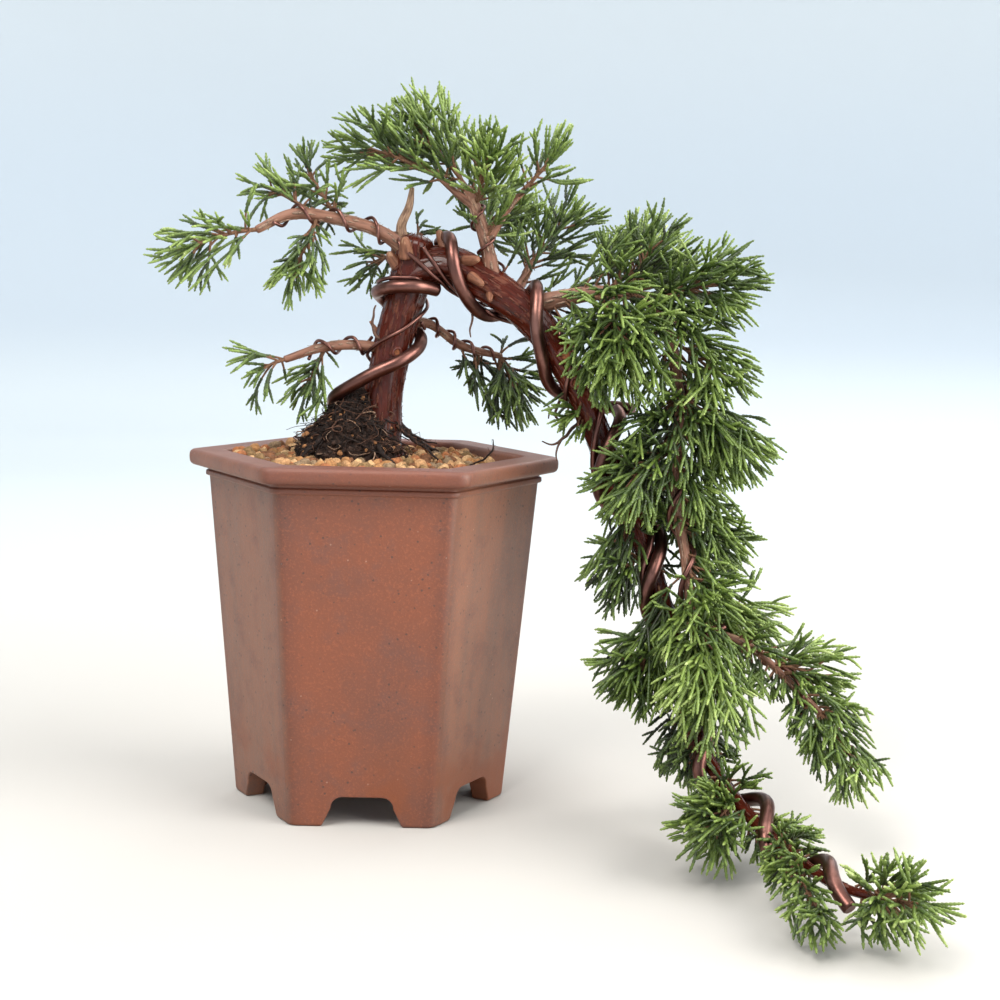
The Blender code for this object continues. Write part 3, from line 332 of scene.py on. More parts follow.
# dead twigs: x, y, z and radius
DEAD_TWIGS = [
    [(3, -6, 184, 0.7), (-0.5, -7.5, 189, 0.6), (-1.2, -8, 194, 0.5), (0, -8, 199, 0.3)],
    [(37, -6, 200, 0.6), (38, -7, 195, 0.5), (37, -7.5, 191, 0.4), (37.8, -8, 187, 0.25)],
    [(76, -16, 167, 0.8), (72.5, -18, 163, 0.6), (71.5, -19, 158, 0.5), (74, -20, 155, 0.3)],
    [(72.5, -18, 163, 0.5), (69, -19, 160, 0.4), (68.5, -20, 157, 0.25)],
    [(80, -18, 156, 0.7), (74, -20, 149, 0.6), (70, -22, 147, 0.4), (66, -23, 148, 0.25)],
    [(74, -20, 149, 0.45), (72, -23, 145, 0.4), (72, -24, 141, 0.25)],
]
WIRE_STEP = 5.0                # between points of a wire's course
WIRE_FINE_STEP = 0.9           # between rings of its skin
WIRE_SIDES = 16
THIN_WIRE_SIDES = 10
WIRE_EASING = 4                # how often its course is smoothed


def paint(red, green, blue):
    """A colour as the eye names it, 0 to 255 each, turned into the linear values of a shader."""
    return tuple(part / 3295 if part < 10.3 else ((part / 255 + 0.055) / 1.055) ** 2.4
                 for part in (red, green, blue))


def add_node(tree, kind, settings, values):
    """A node with its settings made first, then its sockets, each by a link or a number."""
    made = tree.nodes.new(kind)
    for key, value in (settings or {}).items():
        setattr(made, key, value)
    for key, value in (values or {}).items():
        value = getattr(value, "socket", value)
        if isinstance(value, bpy.types.NodeSocket):
            tree.links.new(value, made.inputs[key])
        else:
            made.inputs[key].default_value = value
    return made


# ================================================================ materials
class Value:
    """A shader socket that takes part in Python sums; each operator adds a Math node."""

    def __init__(self, finish, socket):
        self.finish = finish
        self.socket = socket

    def __add__(self, other):
        return self.finish.sum("ADD", self, other)

    def __sub__(self, other):
        return self.finish.sum("SUBTRACT", self, other)

    def __rsub__(self, other):
        return self.finish.sum("SUBTRACT", other, self)

    def __mul__(self, other):
        return self.finish.sum("MULTIPLY", self, other)

    __radd__ = __add__
    __rmul__ = __mul__


class Finish:
    """A material: its even settings, then nodes for what changes over the surface."""

    def __init__(self, name, colour, roughness, constants=None):
        self.material = bpy.data.materials.new(name)
        self.material.use_nodes = True
        self.tree = self.material.node_tree
        self.shader = self.tree.nodes["Principled BSDF"]
        self.shader.inputs["Base Color"].default_value = (*colour, 1.0)
        self.shader.inputs["Roughness"].default_value = roughness
        for socket, value in (constants or {}).items():
            self.shader.inputs[socket].default_value = value

    def node(self, kind, settings=None, values=None, out=0):
        """A node of this material; gives all of its outputs, or one of them."""
        made = add_node(self.tree, kind, settings, values)
        if out == "all":
            return [Value(self, socket) for socket in made.outputs]
        return Value(self, made.outputs[out])

    def sum(self, operation, first, second=0.0):
        return self.node("ShaderNodeMath", {"operation": operation}, {0: first, 1: second})

    def place(self, middle=(0, 0, 0), turn=0.0):
        """Object coordinates about a middle, turned round the upright axis."""
        return self.node("ShaderNodeMapping", {"vector_type": "TEXTURE"},
                         {"Vector": self.node("ShaderNodeTexCoord", out="Object"),
                          "Location": tuple(middle), "Rotation": (0, 0, turn)})

    def attribute(self, name):
        return self.node("ShaderNodeAttribute", {"attribute_name": name}, out="Vector")

    def stretched(self, vector, by):
        return self.node("ShaderNodeVectorMath", {"operation": "MULTIPLY"}, {0: vector, 1: by})

    def clouds(self, place, scale, detail, roughness=0.5, twist=0.0):
        """Soft noise, 0 to 1."""
        return self.node("ShaderNodeTexNoise", {},
                         {"Vector": place, "Scale": scale, "Detail": detail,
                          "Roughness": roughness, "Distortion": twist}, "Fac")

    def band(self, value, low, high):
        """0 below low, 1 above high and smooth between."""
        return self.node("ShaderNodeMapRange", {"interpolation_type": "SMOOTHSTEP"},
                         {"Value": value, "From Min": low, "From Max": high})

    def blend(self, share, first, second):
        """One colour over another by a share."""
        values = {0: share, 6: first, 7: second}
        for key in (6, 7):
            if not isinstance(values[key], Value):
                values[key] = (*values[key], 1.0)
        return self.node("ShaderNodeMix", {"data_type": "RGBA"}, values, 2)

    def layers(self, colour, *layers):
        """Colours laid over the first in turn, each by its own share."""
        for share, over in layers:
            colour = self.blend(share, colour, paint(*over))
        return colour

    def bump(self, height, distance, strength):
        """A relief that stands so many millimetres high."""
        return self.node("ShaderNodeBump", {}, {"Height": height, "Distance": distance * MM,
                                                "Strength": strength}, "Normal")

    def wear(self, **surfaces):
        """Links what changes over the surface to the shader's sockets."""
        for name, value in surfaces.items():
            self.tree.links.new(value.socket, self.shader.inputs[name.replace("_", " ").title()])
        return self.material


def clay():
    """Unglazed satin clay: orange brown, mottled purple grey, with dark and pale specks."""
    finish = Finish("satin_clay", paint(164, 104, 82), 0.45, {"Coat Roughness": 0.35})
    place = finish.place(POT_PLACE, POT_TURN)
    across, deep, height = finish.node("ShaderNodeSeparateXYZ", values={"Vector": place}, out="all")
    turn = finish.sum("ARCTAN2", deep, across)
    sector = finish.sum("PINGPONG", turn, math.pi / SIDES)        # 0 at a corner of the hexagon
    corner = 1 - finish.band(sector, 0.03, 0.13)
    facing = finish.band(finish.sum("ABSOLUTE", deep) - CORNER_SLOPE * finish.sum("ABSOLUTE", across),
                         -0.002, 0.003)                           # 1 on the front and the back
    wide = finish.clouds(place, 16.0, 4.0, 0.6, 0.4)
    mottle = finish.clouds(place, 85.0, 5.0, 0.65)
    streaks = finish.clouds(finish.stretched(place, (1.0, 1.0, 0.08)), 120.0, 3.0)
    fine = finish.clouds(place, 1100.0, 3.0, 0.7)
    warm = finish.blend(finish.band(wide, 0.40, 0.68), paint(120, 66, 44), paint(103, 62, 48))
    # the four slanting faces take a paler, greyer tan than the front and back: partly the clay's own
    # colour, partly painted sheen as they are seen at a slant
    tan = finish.blend(finish.band(streaks, 0.40, 0.66), paint(126, 84, 64), paint(116, 82, 66))
    lip = finish.band(height, (BODY_TOP - 0.5) * MM, (BODY_TOP + 1.0) * MM)
    crown = finish.band(height, (POT_HEIGHT - 1.0) * MM, (POT_HEIGHT - 0.2) * MM)
    dark = finish.node("ShaderNodeTexVoronoi", {}, {"Vector": place, "Scale": 330.0}, "Distance")
    pale = finish.node("ShaderNodeTexVoronoi", {}, {"Vector": place, "Scale": 130.0}, "Distance")
    gather = finish.band(finish.clouds(place, 140.0, 2.0), 0.42, 0.56)
    stain = finish.clouds(place, 30.0, 3.0, 0.6)
    low = 1 - finish.band(height, 12 * MM, 44 * MM)
    colour = finish.layers(
        finish.blend(facing, tan, warm),
        (finish.band(mottle, 0.46, 0.72) * 0.5, (98, 66, 58)),
        (corner * 0.35, (86, 50, 40)),
        (finish.band(fine, 0.50, 0.66) * 0.3, (164, 92, 58)),
        # the lip is darker in its own colour, but less so on the four slanting faces: painted light, as
        # the lamps reach those faces less
        (lip * (0.3 + 0.28 * facing), (106, 58, 42)),
        # the top of the rim is paler and pinker: painted sheen over the clay's own colour
        (crown * 0.5, (116, 78, 68)),
        ((1 - finish.band(dark, 0.10, 0.20)) * gather * 0.75, (66, 48, 44)),
        ((1 - finish.band(pale, 0.03, 0.055)) * 0.25, (200, 168, 148)),
        (low * finish.band(stain, 0.44, 0.64) * 0.75, (124, 64, 32)))
    rough = 0.40 + 0.16 * mottle + 0.06 * fine
    grain = finish.bump(fine * 0.5 + mottle * 0.8 + streaks * 0.25, 0.24, 0.8)
    return finish.wear(base_color=colour, roughness=rough, normal=grain)


def granule(name, colour):
    """One colour of crumbly baked clay granule."""
    finish = Finish(name, colour, 0.92, {"Specular IOR Level": 0.25})
    place = finish.place()
    lumps = finish.clouds(place, 900.0, 3.0, 0.7)
    pits = finish.clouds(place, 2600.0, 2.0, 0.6)
    shade = finish.blend(finish.band(lumps, 0.35, 0.70), tuple(0.62 * part for part in colour),
                         tuple(min(1.0, 1.22 * part) for part in colour))
    return finish.wear(base_color=shade, roughness=0.82 + 0.16 * pits,
                       normal=finish.bump(lumps + pits * 0.6, 0.35, 0.9))


def root_earth():
    """Black-brown matted roots and peat."""
    finish = Finish("matted_roots", paint(46, 33, 28), 0.95, {"Specular IOR Level": 0.2})
    place = finish.place()
    lumps = finish.clouds(place, 420.0, 5.0, 0.75, 0.8)
    hair = finish.clouds(finish.stretched(place, (1.0, 1.0, 0.35)), 1500.0, 3.0, 0.6, 1.5)
    shade = finish.blend(finish.band(lumps, 0.42, 0.64), paint(28, 20, 17), paint(64, 45, 37))
    shade = finish.blend(finish.band(hair, 0.60, 0.72) * 0.5, shade, paint(104, 80, 66))
    return finish.wear(base_color=shade, roughness=0.86 + 0.12 * lumps,
                       normal=finish.bump(lumps + hair * 0.5, 0.9, 1.0))


def bark(name, deep, body, strip, shine):
    """Juniper bark: polished live wood in twisted fibres, with papery strips peeling off it."""
    finish = Finish(name, body, 0.5, {"Specular IOR Level": 0.28})
    grain = finish.attribute("grain")
    fibres = finish.clouds(finish.stretched(grain, (0.7, 0.7, 0.8)), 1.0, 4.0, 0.6)
    strands = finish.clouds(finish.stretched(grain, (0.42, 0.42, 0.6)), 1.0, 3.0, 0.6)
    patches = finish.clouds(finish.stretched(grain, (0.16, 0.16, 0.9)), 1.0, 3.0, 0.55)
    cracks = finish.clouds(finish.stretched(grain, (2.2, 2.2, 1.0)), 1.0, 2.0, 0.6)
    peel = finish.band(strands, 0.54, 0.62) * finish.band(patches, 0.46, 0.60)
    shade = finish.blend(finish.band(fibres, 0.22, 0.60), deep, body)
    shade = finish.blend(finish.band(patches, 0.44, 0.70) * 0.5, shade,
                         tuple(1.25 * part for part in body))
    shade = finish.blend(peel * 0.8, shade, strip)
    shade = finish.blend((1 - finish.band(cracks, 0.26, 0.38)) * 0.6, shade,
                         tuple(0.45 * part for part in deep))
    rough = shine + 0.28 * peel + 0.12 * fibres
    return finish.wear(base_color=shade, roughness=rough,
                       normal=finish.bump(fibres * 0.4 + strands * 0.7 + peel * 0.5 + cracks * 0.2,
                                          0.16, 0.9))


def bare_wood():
    """Weathered dead wood: pale tan with grey cracks along it."""
    finish = Finish("bare_wood", paint(176, 140, 112), 0.78)
    grain = finish.attribute("grain")
    fibres = finish.clouds(grain, 1.4, 4.0, 0.65)
    patches = finish.clouds(finish.stretched(grain, (0.3, 0.3, 0.8)), 1.0, 3.0)
    shade = finish.blend(finish.band(fibres, 0.36, 0.62), paint(112, 82, 64), paint(186, 150, 122))
    shade = finish.blend(finish.band(patches, 0.52, 0.70) * 0.5, shade, paint(132, 106, 92))
    return finish.wear(base_color=shade, roughness=0.70 + 0.2 * fibres,
                       normal=finish.bump(fibres, 0.4, 0.9))


def wire_metal():
    """Anodised aluminium wire: dark copper brown with a satin shine, rubbed paler in places."""
    finish = Finish("anodised_wire", paint(112, 78, 70), 0.3, {"Metallic": 1.0})
    place = finish.place()
    rubs = finish.clouds(place, 130.0, 4.0, 0.6)
    scratches = finish.clouds(place, 1400.0, 2.0, 0.7, 0.6)
    shade = finish.blend(finish.band(rubs, 0.45, 0.72), paint(108, 74, 67), paint(140, 100, 90))
    return finish.wear(base_color=shade, roughness=0.27 + 0.12 * rubs + 0.06 * scratches,
                       normal=finish.bump(scratches, 0.03, 0.35))


def leaf_green(name, colour):
    """Scale leaves: one even green, with a waxy shine that breaks up."""
    finish = Finish(name, colour, 0.4, {"Specular IOR Level": 0.6})
    wax = finish.clouds(finish.place(), 1800.0, 2.0)
    return finish.wear(roughness=0.36 + 0.22 * wax, normal=finish.bump(wax, 0.15, 0.6))


def plain_wood(name, colour, roughness):
    """Thin twigs and hair roots: one brown with a fine grain."""
    finish = Finish(name, colour, roughness, {"Specular IOR Level": 0.3})
    grain = finish.clouds(finish.place(), 1300.0, 3.0, 0.6)
    shade = finish.blend(finish.band(grain, 0.35, 0.68), tuple(0.6 * part for part in colour),
                         tuple(1.3 * part for part in colour))
    return finish.wear(base_color=shade, roughness=roughness - 0.05 + 0.1 * grain,
                       normal=finish.bump(grain, 0.15, 0.7))


# ================================================================ geometry trees
class Tree:
    """A Geometry Nodes tree, written one node at a time, with named inputs."""

    def __init__(self, name, **inputs):
        self.group = bpy.data.node_groups.new(name, "GeometryNodeTree")
        sockets = self.group.interface
        sockets.new_socket("Geometry", in_out="INPUT", socket_type="NodeSocketGeometry")
        sockets.new_socket("Geometry", in_out="OUTPUT", socket_type="NodeSocketGeometry")
        self.identifiers = {key: sockets.new_socket(key, in_out="INPUT",
                                                    socket_type="NodeSocket" + kind).identifier
                            for key, kind in inputs.items()}
        self.entry = self.group.nodes.new("NodeGroupInput")
        self.start = self.entry.outputs[0]

    def input(self, name):
        return self.entry.outputs[name]

    def node(self, kind, settings=None, values=None, out=0):
        """A node of this tree; gives one of its outputs."""
        return add_node(self.group, kind, settings, values).outputs[out]

    def named(self, attribute, kind="FLOAT"):
        return self.node("GeometryNodeInputNamedAttribute", {"data_type": kind}, {"Name": attribute})

    def real(self, geometry):
        """Smooth faces in place of instances."""
        mesh = self.node("GeometryNodeRealizeInstances", values={"Geometry": geometry})
        return self.node("GeometryNodeSetShadeSmooth", values={"Geometry": mesh, "Shade Smooth": True})

    def random(self, kind, least, most):
        """A random value for each point, between two values or inputs of a kind."""
        first, out = {"FLOAT_VECTOR": (0, 0), "FLOAT": (2, 1), "INT": (4, 2)}[kind]
        return self.node("FunctionNodeRandomValue", {"data_type": kind},
                         {first: least, first + 1: most, "Seed": self.input("Seed")}, out)

    def strewn(self, shapes, points, rotation, size):
        """A collection's shapes on points, each picked at random."""
        group = self.node("GeometryNodeCollectionInfo",
                          values={"Collection": self.input(shapes), "Separate Children": True,
                                  "Reset Children": True})
        laid = self.node("GeometryNodeInstanceOnPoints",
                         values={"Points": points, "Instance": group, "Pick Instance": True,
                                 "Instance Index": self.random("INT", 0, 99),
                                 "Rotation": rotation, "Scale": size})
        return self.real(laid)

    def finished(self, geometry):
        """Closes the tree with its one material."""
        return self.close(self.node("GeometryNodeSetMaterial",
                                    values={"Geometry": geometry, "Material": self.input("Finish")}))

    def dealt_out(self, geometry, attribute, finishes):
        """Closes the tree with each face in the material whose number its attribute holds."""
        number = self.named(attribute, "INT")
        for kind, finish in enumerate(finishes):
            same = self.node("FunctionNodeCompare", {"data_type": "INT", "operation": "EQUAL"},
                             {2: number, 3: kind})
            geometry = self.node("GeometryNodeSetMaterial",
                                 values={"Geometry": geometry, "Selection": same,
                                         "Material": self.input(finish)})
        return self.close(geometry)

    def close(self, geometry):
        leave = self.group.nodes.new("NodeGroupOutput")
        self.group.links.new(geometry, leave.inputs[0])
        return self

    def run(self, name, mesh, **values):
        """What the tree makes of a mesh, as an object with a plain mesh of its own."""
        piece = bpy.data.objects.new(name, mesh)
        bpy.context.scene.collection.objects.link(piece)
        step = piece.modifiers.new(name, "NODES")
        step.node_group = self.group
        for key, value in values.items():
            step[self.identifiers[key]] = value
        bpy.context.view_layer.update()
        evaluated = piece.evaluated_get(bpy.context.evaluated_depsgraph_get())
        made = bpy.data.meshes.new_from_object(evaluated)
        piece.modifiers.clear()
        piece.data = made
        made.name = name
        return piece


def tube_tree():
    """Turns edges into round tubes, as thick as the radius kept at each corner."""
    tree = Tree("tubes", Sides="Int", Finish="Material")
    curve = tree.node("GeometryNodeMeshToCurve", values={"Mesh": tree.start})
    profile = tree.node("GeometryNodeCurvePrimitiveCircle",
                        values={"Resolution": tree.input("Sides"), "Radius": 1.0})
    mesh = tree.node("GeometryNodeCurveToMesh",
                     values={"Curve": curve, "Profile Curve": profile,
                             "Scale": tree.named("radius"), "Fill Caps": True})
    return tree.finished(tree.real(mesh))


def scatter_tree(kinds):
    """Strews lumps over a surface, each lump in one of several materials."""
    finishes = {f"Finish{kind}": "Material" for kind in range(kinds)}
    tree = Tree("scatter", Lumps="Collection", Spacing="Float", Smallest="Float", Largest="Float",
                Seed="Int", **finishes)
    points = tree.node("GeometryNodeDistributePointsOnFaces", {"distribute_method": "POISSON"},
                       {"Mesh": tree.start, "Distance Min": tree.input("Spacing"),
                        "Density Max": 1e6, "Seed": tree.input("Seed")})
    points = tree.node("GeometryNodeStoreNamedAttribute", {"data_type": "INT", "domain": "POINT"},
                       {"Geometry": points, "Name": "kind",
                        "Value": tree.random("INT", 0, kinds - 1)})
    spin = tree.random("FLOAT_VECTOR", (0, 0, 0), (6.28, 6.28, 6.28))
    size = tree.random("FLOAT", tree.input("Smallest"), tree.input("Largest"))
    rotation = tree.node("FunctionNodeEulerToRotation", values={"Euler": spin})
    return tree.dealt_out(tree.strewn("Lumps", points, rotation, size), "kind", finishes)


def shoot_tree(tones):
    """Threads pairs of scale leaves on every path, each pair turned a quarter against the last."""
    finishes = {f"Tone{tone}": "Material" for tone in range(tones)}
    tree = Tree("shoots", Leaves="Object", Pitch="Float", **finishes)
    curve = tree.node("GeometryNodeMeshToCurve", values={"Mesh": tree.start})
    curve = tree.node("GeometryNodeResampleCurve", {"mode": "LENGTH"},
                      {"Curve": curve, "Length": tree.input("Pitch")})
    tangent = tree.node("GeometryNodeInputTangent")
    aligned = tree.node("FunctionNodeAlignRotationToVector", {"axis": "Z"}, {"Vector": tangent})
    odd = tree.node("ShaderNodeMath", {"operation": "FLOORED_MODULO"},
                    {0: tree.node("GeometryNodeInputIndex"), 1: 2.0})
    quarter = tree.node("ShaderNodeMath", {"operation": "MULTIPLY"}, {0: odd, 1: math.pi / 2})
    spin = tree.node("FunctionNodeEulerToRotation",
                     values={"Euler": tree.node("ShaderNodeCombineXYZ", values={"Z": quarter})})
    rotation = tree.node("FunctionNodeRotateRotation", {"rotation_space": "LOCAL"},
                         {"Rotation": aligned, "Rotate By": spin})
    leaves = tree.node("GeometryNodeObjectInfo", values={"Object": tree.input("Leaves")},
                       out="Geometry")
    radius = tree.named("radius")
    size = tree.node("ShaderNodeCombineXYZ", values={"X": radius, "Y": radius, "Z": tree.named("long")})
    threaded = tree.node("GeometryNodeInstanceOnPoints",
                         values={"Points": curve, "Instance": leaves, "Rotation": rotation,
                                 "Scale": size})
    return tree.dealt_out(tree.real(threaded), "tone", finishes)


# ================================================================ meshes
def new_mesh(name, vertices, faces, edges=()):
    mesh = bpy.data.meshes.new(name)
    mesh.from_pydata([tuple(v) for v in vertices], list(edges), faces)
    return mesh


def new_piece(name, mesh, finish=None):
    piece = bpy.data.objects.new(name, mesh)
    bpy.context.scene.collection.objects.link(piece)
    if finish is not None:
        mesh.materials.append(finish)
    mesh.shade_smooth()
    return piece


def settled(piece):
    """Replaces a piece's mesh by what its modifiers make of it."""
    bpy.context.view_layer.update()
    evaluated = piece.evaluated_get(bpy.context.evaluated_depsgraph_get())
    finished = bpy.data.meshes.new_from_object(evaluated)
    piece.modifiers.clear()
    piece.data = finished
    return piece


def part_of_plant(piece, slot, *nodes):
    """Lets a piece ride with the plant and hides the solids it stands for; slot is not used."""
    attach(piece, "root")
    if nodes:
        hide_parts(*nodes)
    return piece


def open_skin(rings):
    """A surface over rings of equally many points, open at both ends."""
    count = len(rings[0])
    faces = [(r * count + k, r * count + (k + 1) % count, (r + 1) * count + (k + 1) % count,
              (r + 1) * count + k) for r in range(len(rings) - 1) for k in range(count)]
    return np.concatenate(rings), faces


def skin_rings(rings):
    """A skin over rings of equally many points, closed by a pole at both ends."""
    vertices, faces = open_skin(rings)
    count, first_pole = len(rings[0]), len(vertices)
    top = first_pole - count
    faces += [(first_pole, (k + 1) % count, k) for k in range(count)]
    faces += [(first_pole + 1, top + k, top + (k + 1) % count) for k in range(count)]
    return np.vstack([vertices, np.mean(rings[0], axis=0), np.mean(rings[-1], axis=0)]), faces


def hidden(piece):
    """Takes a shape out of the scene, for a tree to repeat."""
    bpy.context.scene.collection.objects.unlink(piece)
    return piece


def hidden_group(name, pieces):
    """A collection of shapes that is in no scene, for a tree to pick from."""
    group = bpy.data.collections.new(name)
    for piece in pieces:
        group.objects.link(hidden(piece))
    return group


def paths_mesh(name, paths, **kept):
    """Paths as chains of edges in one mesh, with a number kept at each corner under each name."""
    vertices = np.concatenate([np.asarray(path) for path in paths])
    edges, first = [], 0
    for path in paths:
        edges += [(first + k, first + k + 1) for k in range(len(path) - 1)]
        first += len(path)
    mesh = new_mesh(name, vertices, [], edges)
    for key, values in kept.items():
        whole = key == "tone"
        store = mesh.attributes.new(key, "INT" if whole else "FLOAT", "POINT")
        store.data.foreach_set("value", np.concatenate(values).astype(int if whole else float))
    return mesh


# ================================================================ curves, as in the part's source
def smooth_rows(rows, step):
    """A smooth curve through rows of numbers, the first three being its place, read every step."""
    rows = np.array(rows, float)
    legs = np.linalg.norm(np.diff(rows[:, :3], axis=0), axis=1)
    slopes = np.diff(rows, axis=0) / legs[:, None]
    tangents = np.vstack([slopes[:1], slopes[:-1] * legs[1:, None] + slopes[1:] * legs[:-1, None],
                          slopes[-1:]])
    tangents[1:-1] /= (legs[1:] + legs[:-1])[:, None]
    pieces = []
    for k, leg in enumerate(legs):
        t = np.linspace(0, 1, max(2, math.ceil(leg / step)) + 1)[:-1, None]
        pieces.append((2 * t**3 - 3 * t**2 + 1) * rows[k] + (t**3 - 2 * t**2 + t) * leg * tangents[k]
                      + (3 * t**2 - 2 * t**3) * rows[k + 1] + (t**3 - t**2) * leg * tangents[k + 1])
    return np.vstack(pieces + [rows[-1:]])


def unit(vector):
    return vector / np.linalg.norm(vector)


class Line:
    """A limb's middle line with a radius and a carried frame at each place; all in metres."""
    FRONT = np.array([0.0, -1.0, 0.0])

    def __init__(self, rows, step=1.5):
        fine = smooth_rows(rows, step) * MM
        self.points = fine[:, :3] + POT_PLACE
        self.radii = fine[:, 3]
        self.travel = np.concatenate(
            [[0], np.cumsum(np.linalg.norm(np.diff(self.points, axis=0), axis=1))])
        self.length = self.travel[-1]
        self.tangents = np.array([unit(v) for v in np.gradient(self.points, axis=0)])
        front = unit(self.FRONT - self.tangents[0] * (self.FRONT @ self.tangents[0]))
        fronts = [front]
        for tangent in self.tangents[1:]:
            front = unit(front - tangent * (front @ tangent))
            fronts.append(front)
        self.fronts = np.array(fronts)

    def read(self, values, travel):
        if values.ndim == 1:
            return np.interp(travel, self.travel, values)
        return np.array([np.interp(travel, self.travel, column) for column in values.T])

    def frame(self, travel):
        """Middle, radius, front direction, side direction and tangent, that far along the line."""
        tangent = unit(self.read(self.tangents, travel))
        front = self.read(self.fronts, travel)
        front = unit(front - tangent * (front @ tangent))
        return (self.read(self.points, travel), self.read(self.radii, travel), front,
                np.cross(tangent, front), tangent)


class Room:
    """Straight runs with a radius that twigs must stay clear of."""

    def __init__(self):
        self.starts = np.zeros((0, 3))
        self.ends = np.zeros((0, 3))
        self.radii = np.zeros(0)

    def add(self, points, radii):
        points = np.asarray(points, float)
        radii = np.broadcast_to(radii, len(points))
        self.starts = np.vstack([self.starts, points[:-1]])
        self.ends = np.vstack([self.ends, points[1:]])
        self.radii = np.concatenate([self.radii, np.maximum(radii[:-1], radii[1:])])

    def gap(self, first, last):
        """The smallest gap between a straight run and everything here."""
        run, others = last - first, self.ends - self.starts
        between = first - self.starts
        run_run, other_other = run @ run + 1e-18, np.einsum("ij,ij->i", others, others) + 1e-18
        run_other, run_between = others @ run, between @ run
        other_between = np.einsum("ij,ij->i", others, between)
        spread = np.maximum(run_run * other_other - run_other**2, 1e-24)
        s = np.clip((run_other * other_between - run_between * other_other) / spread, 0, 1)
        t = np.clip((run_other * s + other_between) / other_other, 0, 1)
        s = np.clip((run_other * t - run_between) / run_run, 0, 1)
        apart = between + s[:, None] * run - t[:, None] * others
        return float(np.min(np.linalg.norm(apart, axis=1) - self.radii))


limbs_room = Room()


# ================================================================ pot
def hexagon_ring(radius, rounding, height, steps=7):
    """A hexagon with rounded corners, its corners that far from the pot's axis."""
    ring = []
    middle = radius - rounding / math.cos(math.pi / SIDES)
    for corner in range(SIDES):
        towards = POT_TURN + 2 * math.pi * corner / SIDES
        for step in range(steps + 1):
            turn = towards + (step / steps - 0.5) * 2 * math.pi / SIDES
            ring.append(POT_PLACE + MM * np.array([
                middle * math.cos(towards) + rounding * math.cos(turn),
                middle * math.sin(towards) + rounding * math.sin(turn), height]))
    return ring


def rounded_profile(rows, steps=4):
    """A profile's rows with an arc in place of each edge but the first and the last."""
    rows = np.array(rows, float)
    made = [rows[0, :3]]
    for before, here, after in zip(rows, rows[1:], rows[2:]):
        back, ahead = (before - here)[[0, 2]], (after - here)[[0, 2]]
        reach = min(here[3], 0.45 * np.linalg.norm(back), 0.45 * np.linalg.norm(ahead))
        first, last = here[[0, 2]] + unit(back) * reach, here[[0, 2]] + unit(ahead) * reach
        for t in np.linspace(0, 1, steps + 1):
            across, height = (1 - t)**2 * first + 2 * t * (1 - t) * here[[0, 2]] + t**2 * last
            made.append((across, here[1], height))
    made.append(rows[-1, :3])
    return made


def arch_cutter(side):
    """The opening between two feet: a flared arch with round shoulders, along one side's normal."""
    half_foot, half_top = ARCH_FOOT / 2, ARCH_TOP / 2
    outline = [(half_foot + 1.4, -4.0)]
    for turn in np.radians(np.linspace(0, 90, 9)):
        outline.append((half_top - ARCH_ROUND + ARCH_ROUND * math.cos(turn),
                        ARCH_HEIGHT - ARCH_ROUND + ARCH_ROUND * math.sin(turn)))
    outline += [(-across, height) for across, height in outline[::-1]]
    normal = POT_TURN + 2 * math.pi * (side + 0.5) / SIDES
    out = np.array([math.cos(normal), math.sin(normal), 0.0])
    along = np.array([-math.sin(normal), math.cos(normal), 0.0])
    up = np.array([0.0, 0.0, 1.0])
    near, far = FOOT_RADIUS - 3.0 * FOOT_RING, FOOT_RADIUS + FOOT_RING
    rings = [[POT_PLACE + MM * (out * away + along * across + up * height)
              for across, height in outline] for away in (near, far)]
    return outward(new_piece("arch_cutter", new_mesh("arch_cutter", *skin_rings(rings))))


def outward(piece):
    """Turns every face of a closed piece to point out of it."""
    work = bmesh.new()
    work.from_mesh(piece.data)
    bmesh.ops.recalc_face_normals(work, faces=work.faces)
    work.to_mesh(piece.data)
    work.free()
    return piece


def build_pot():
    """The pot as one skin, with the six arches cut out of its foot and its edges worn round."""
    rings = [hexagon_ring(*row) for row in rounded_profile(POT_PROFILE)]
    pot = outward(new_piece("pot_clay", new_mesh("pot_clay", *skin_rings(rings)), clay()))
    cutters = [arch_cutter(side) for side in range(SIDES)]
    for cutter in cutters:
        step = pot.modifiers.new("arch", "BOOLEAN")
        step.operation = "DIFFERENCE"
        step.solver = "EXACT"
        step.object = cutter
    settled(pot)
    for cutter in cutters:
        bpy.data.objects.remove(cutter)
    edge = pot.modifiers.new("worn edges", "BEVEL")
    edge.width = 0.7 * MM
    edge.segments = 3
    edge.limit_method = "ANGLE"
    edge.angle_limit = math.radians(42)
    flat = pot.modifiers.new("flat sides", "WEIGHTED_NORMAL")
    flat.weight = 90
    settled(pot)
    part_of_plant(pot, "pot_clay", "pot")


# ================================================================ soil and root mound
def soil_height(x, y):
    """The top of the soil, in millimetres, with x and y from the pot's axis."""
    away = math.hypot(x, y)
    edge = min(1.0, max(0.0, (away - 26.0) / 28.0))
    grain = 1.3 * noise.noise(Vector((x * 0.11, y * 0.11, 3.0)))
    from_mound = math.hypot(x - MOUND_MIDDLE[0], y - MOUND_MIDDLE[1])
    beside = min(1.0, max(0.0, (from_mound - MOUND_SPREAD[0] - 4.0) / 6.0))
    lump = SOIL_LUMP * noise.noise(Vector((x, y, 0.0)) * (1.7 / SOIL_LUMP_SPACING))
    return SOIL_MIDDLE + edge * (SOIL_TILT * x - SOIL_EDGE_DROP + 0.02 * y + grain) + beside * lump


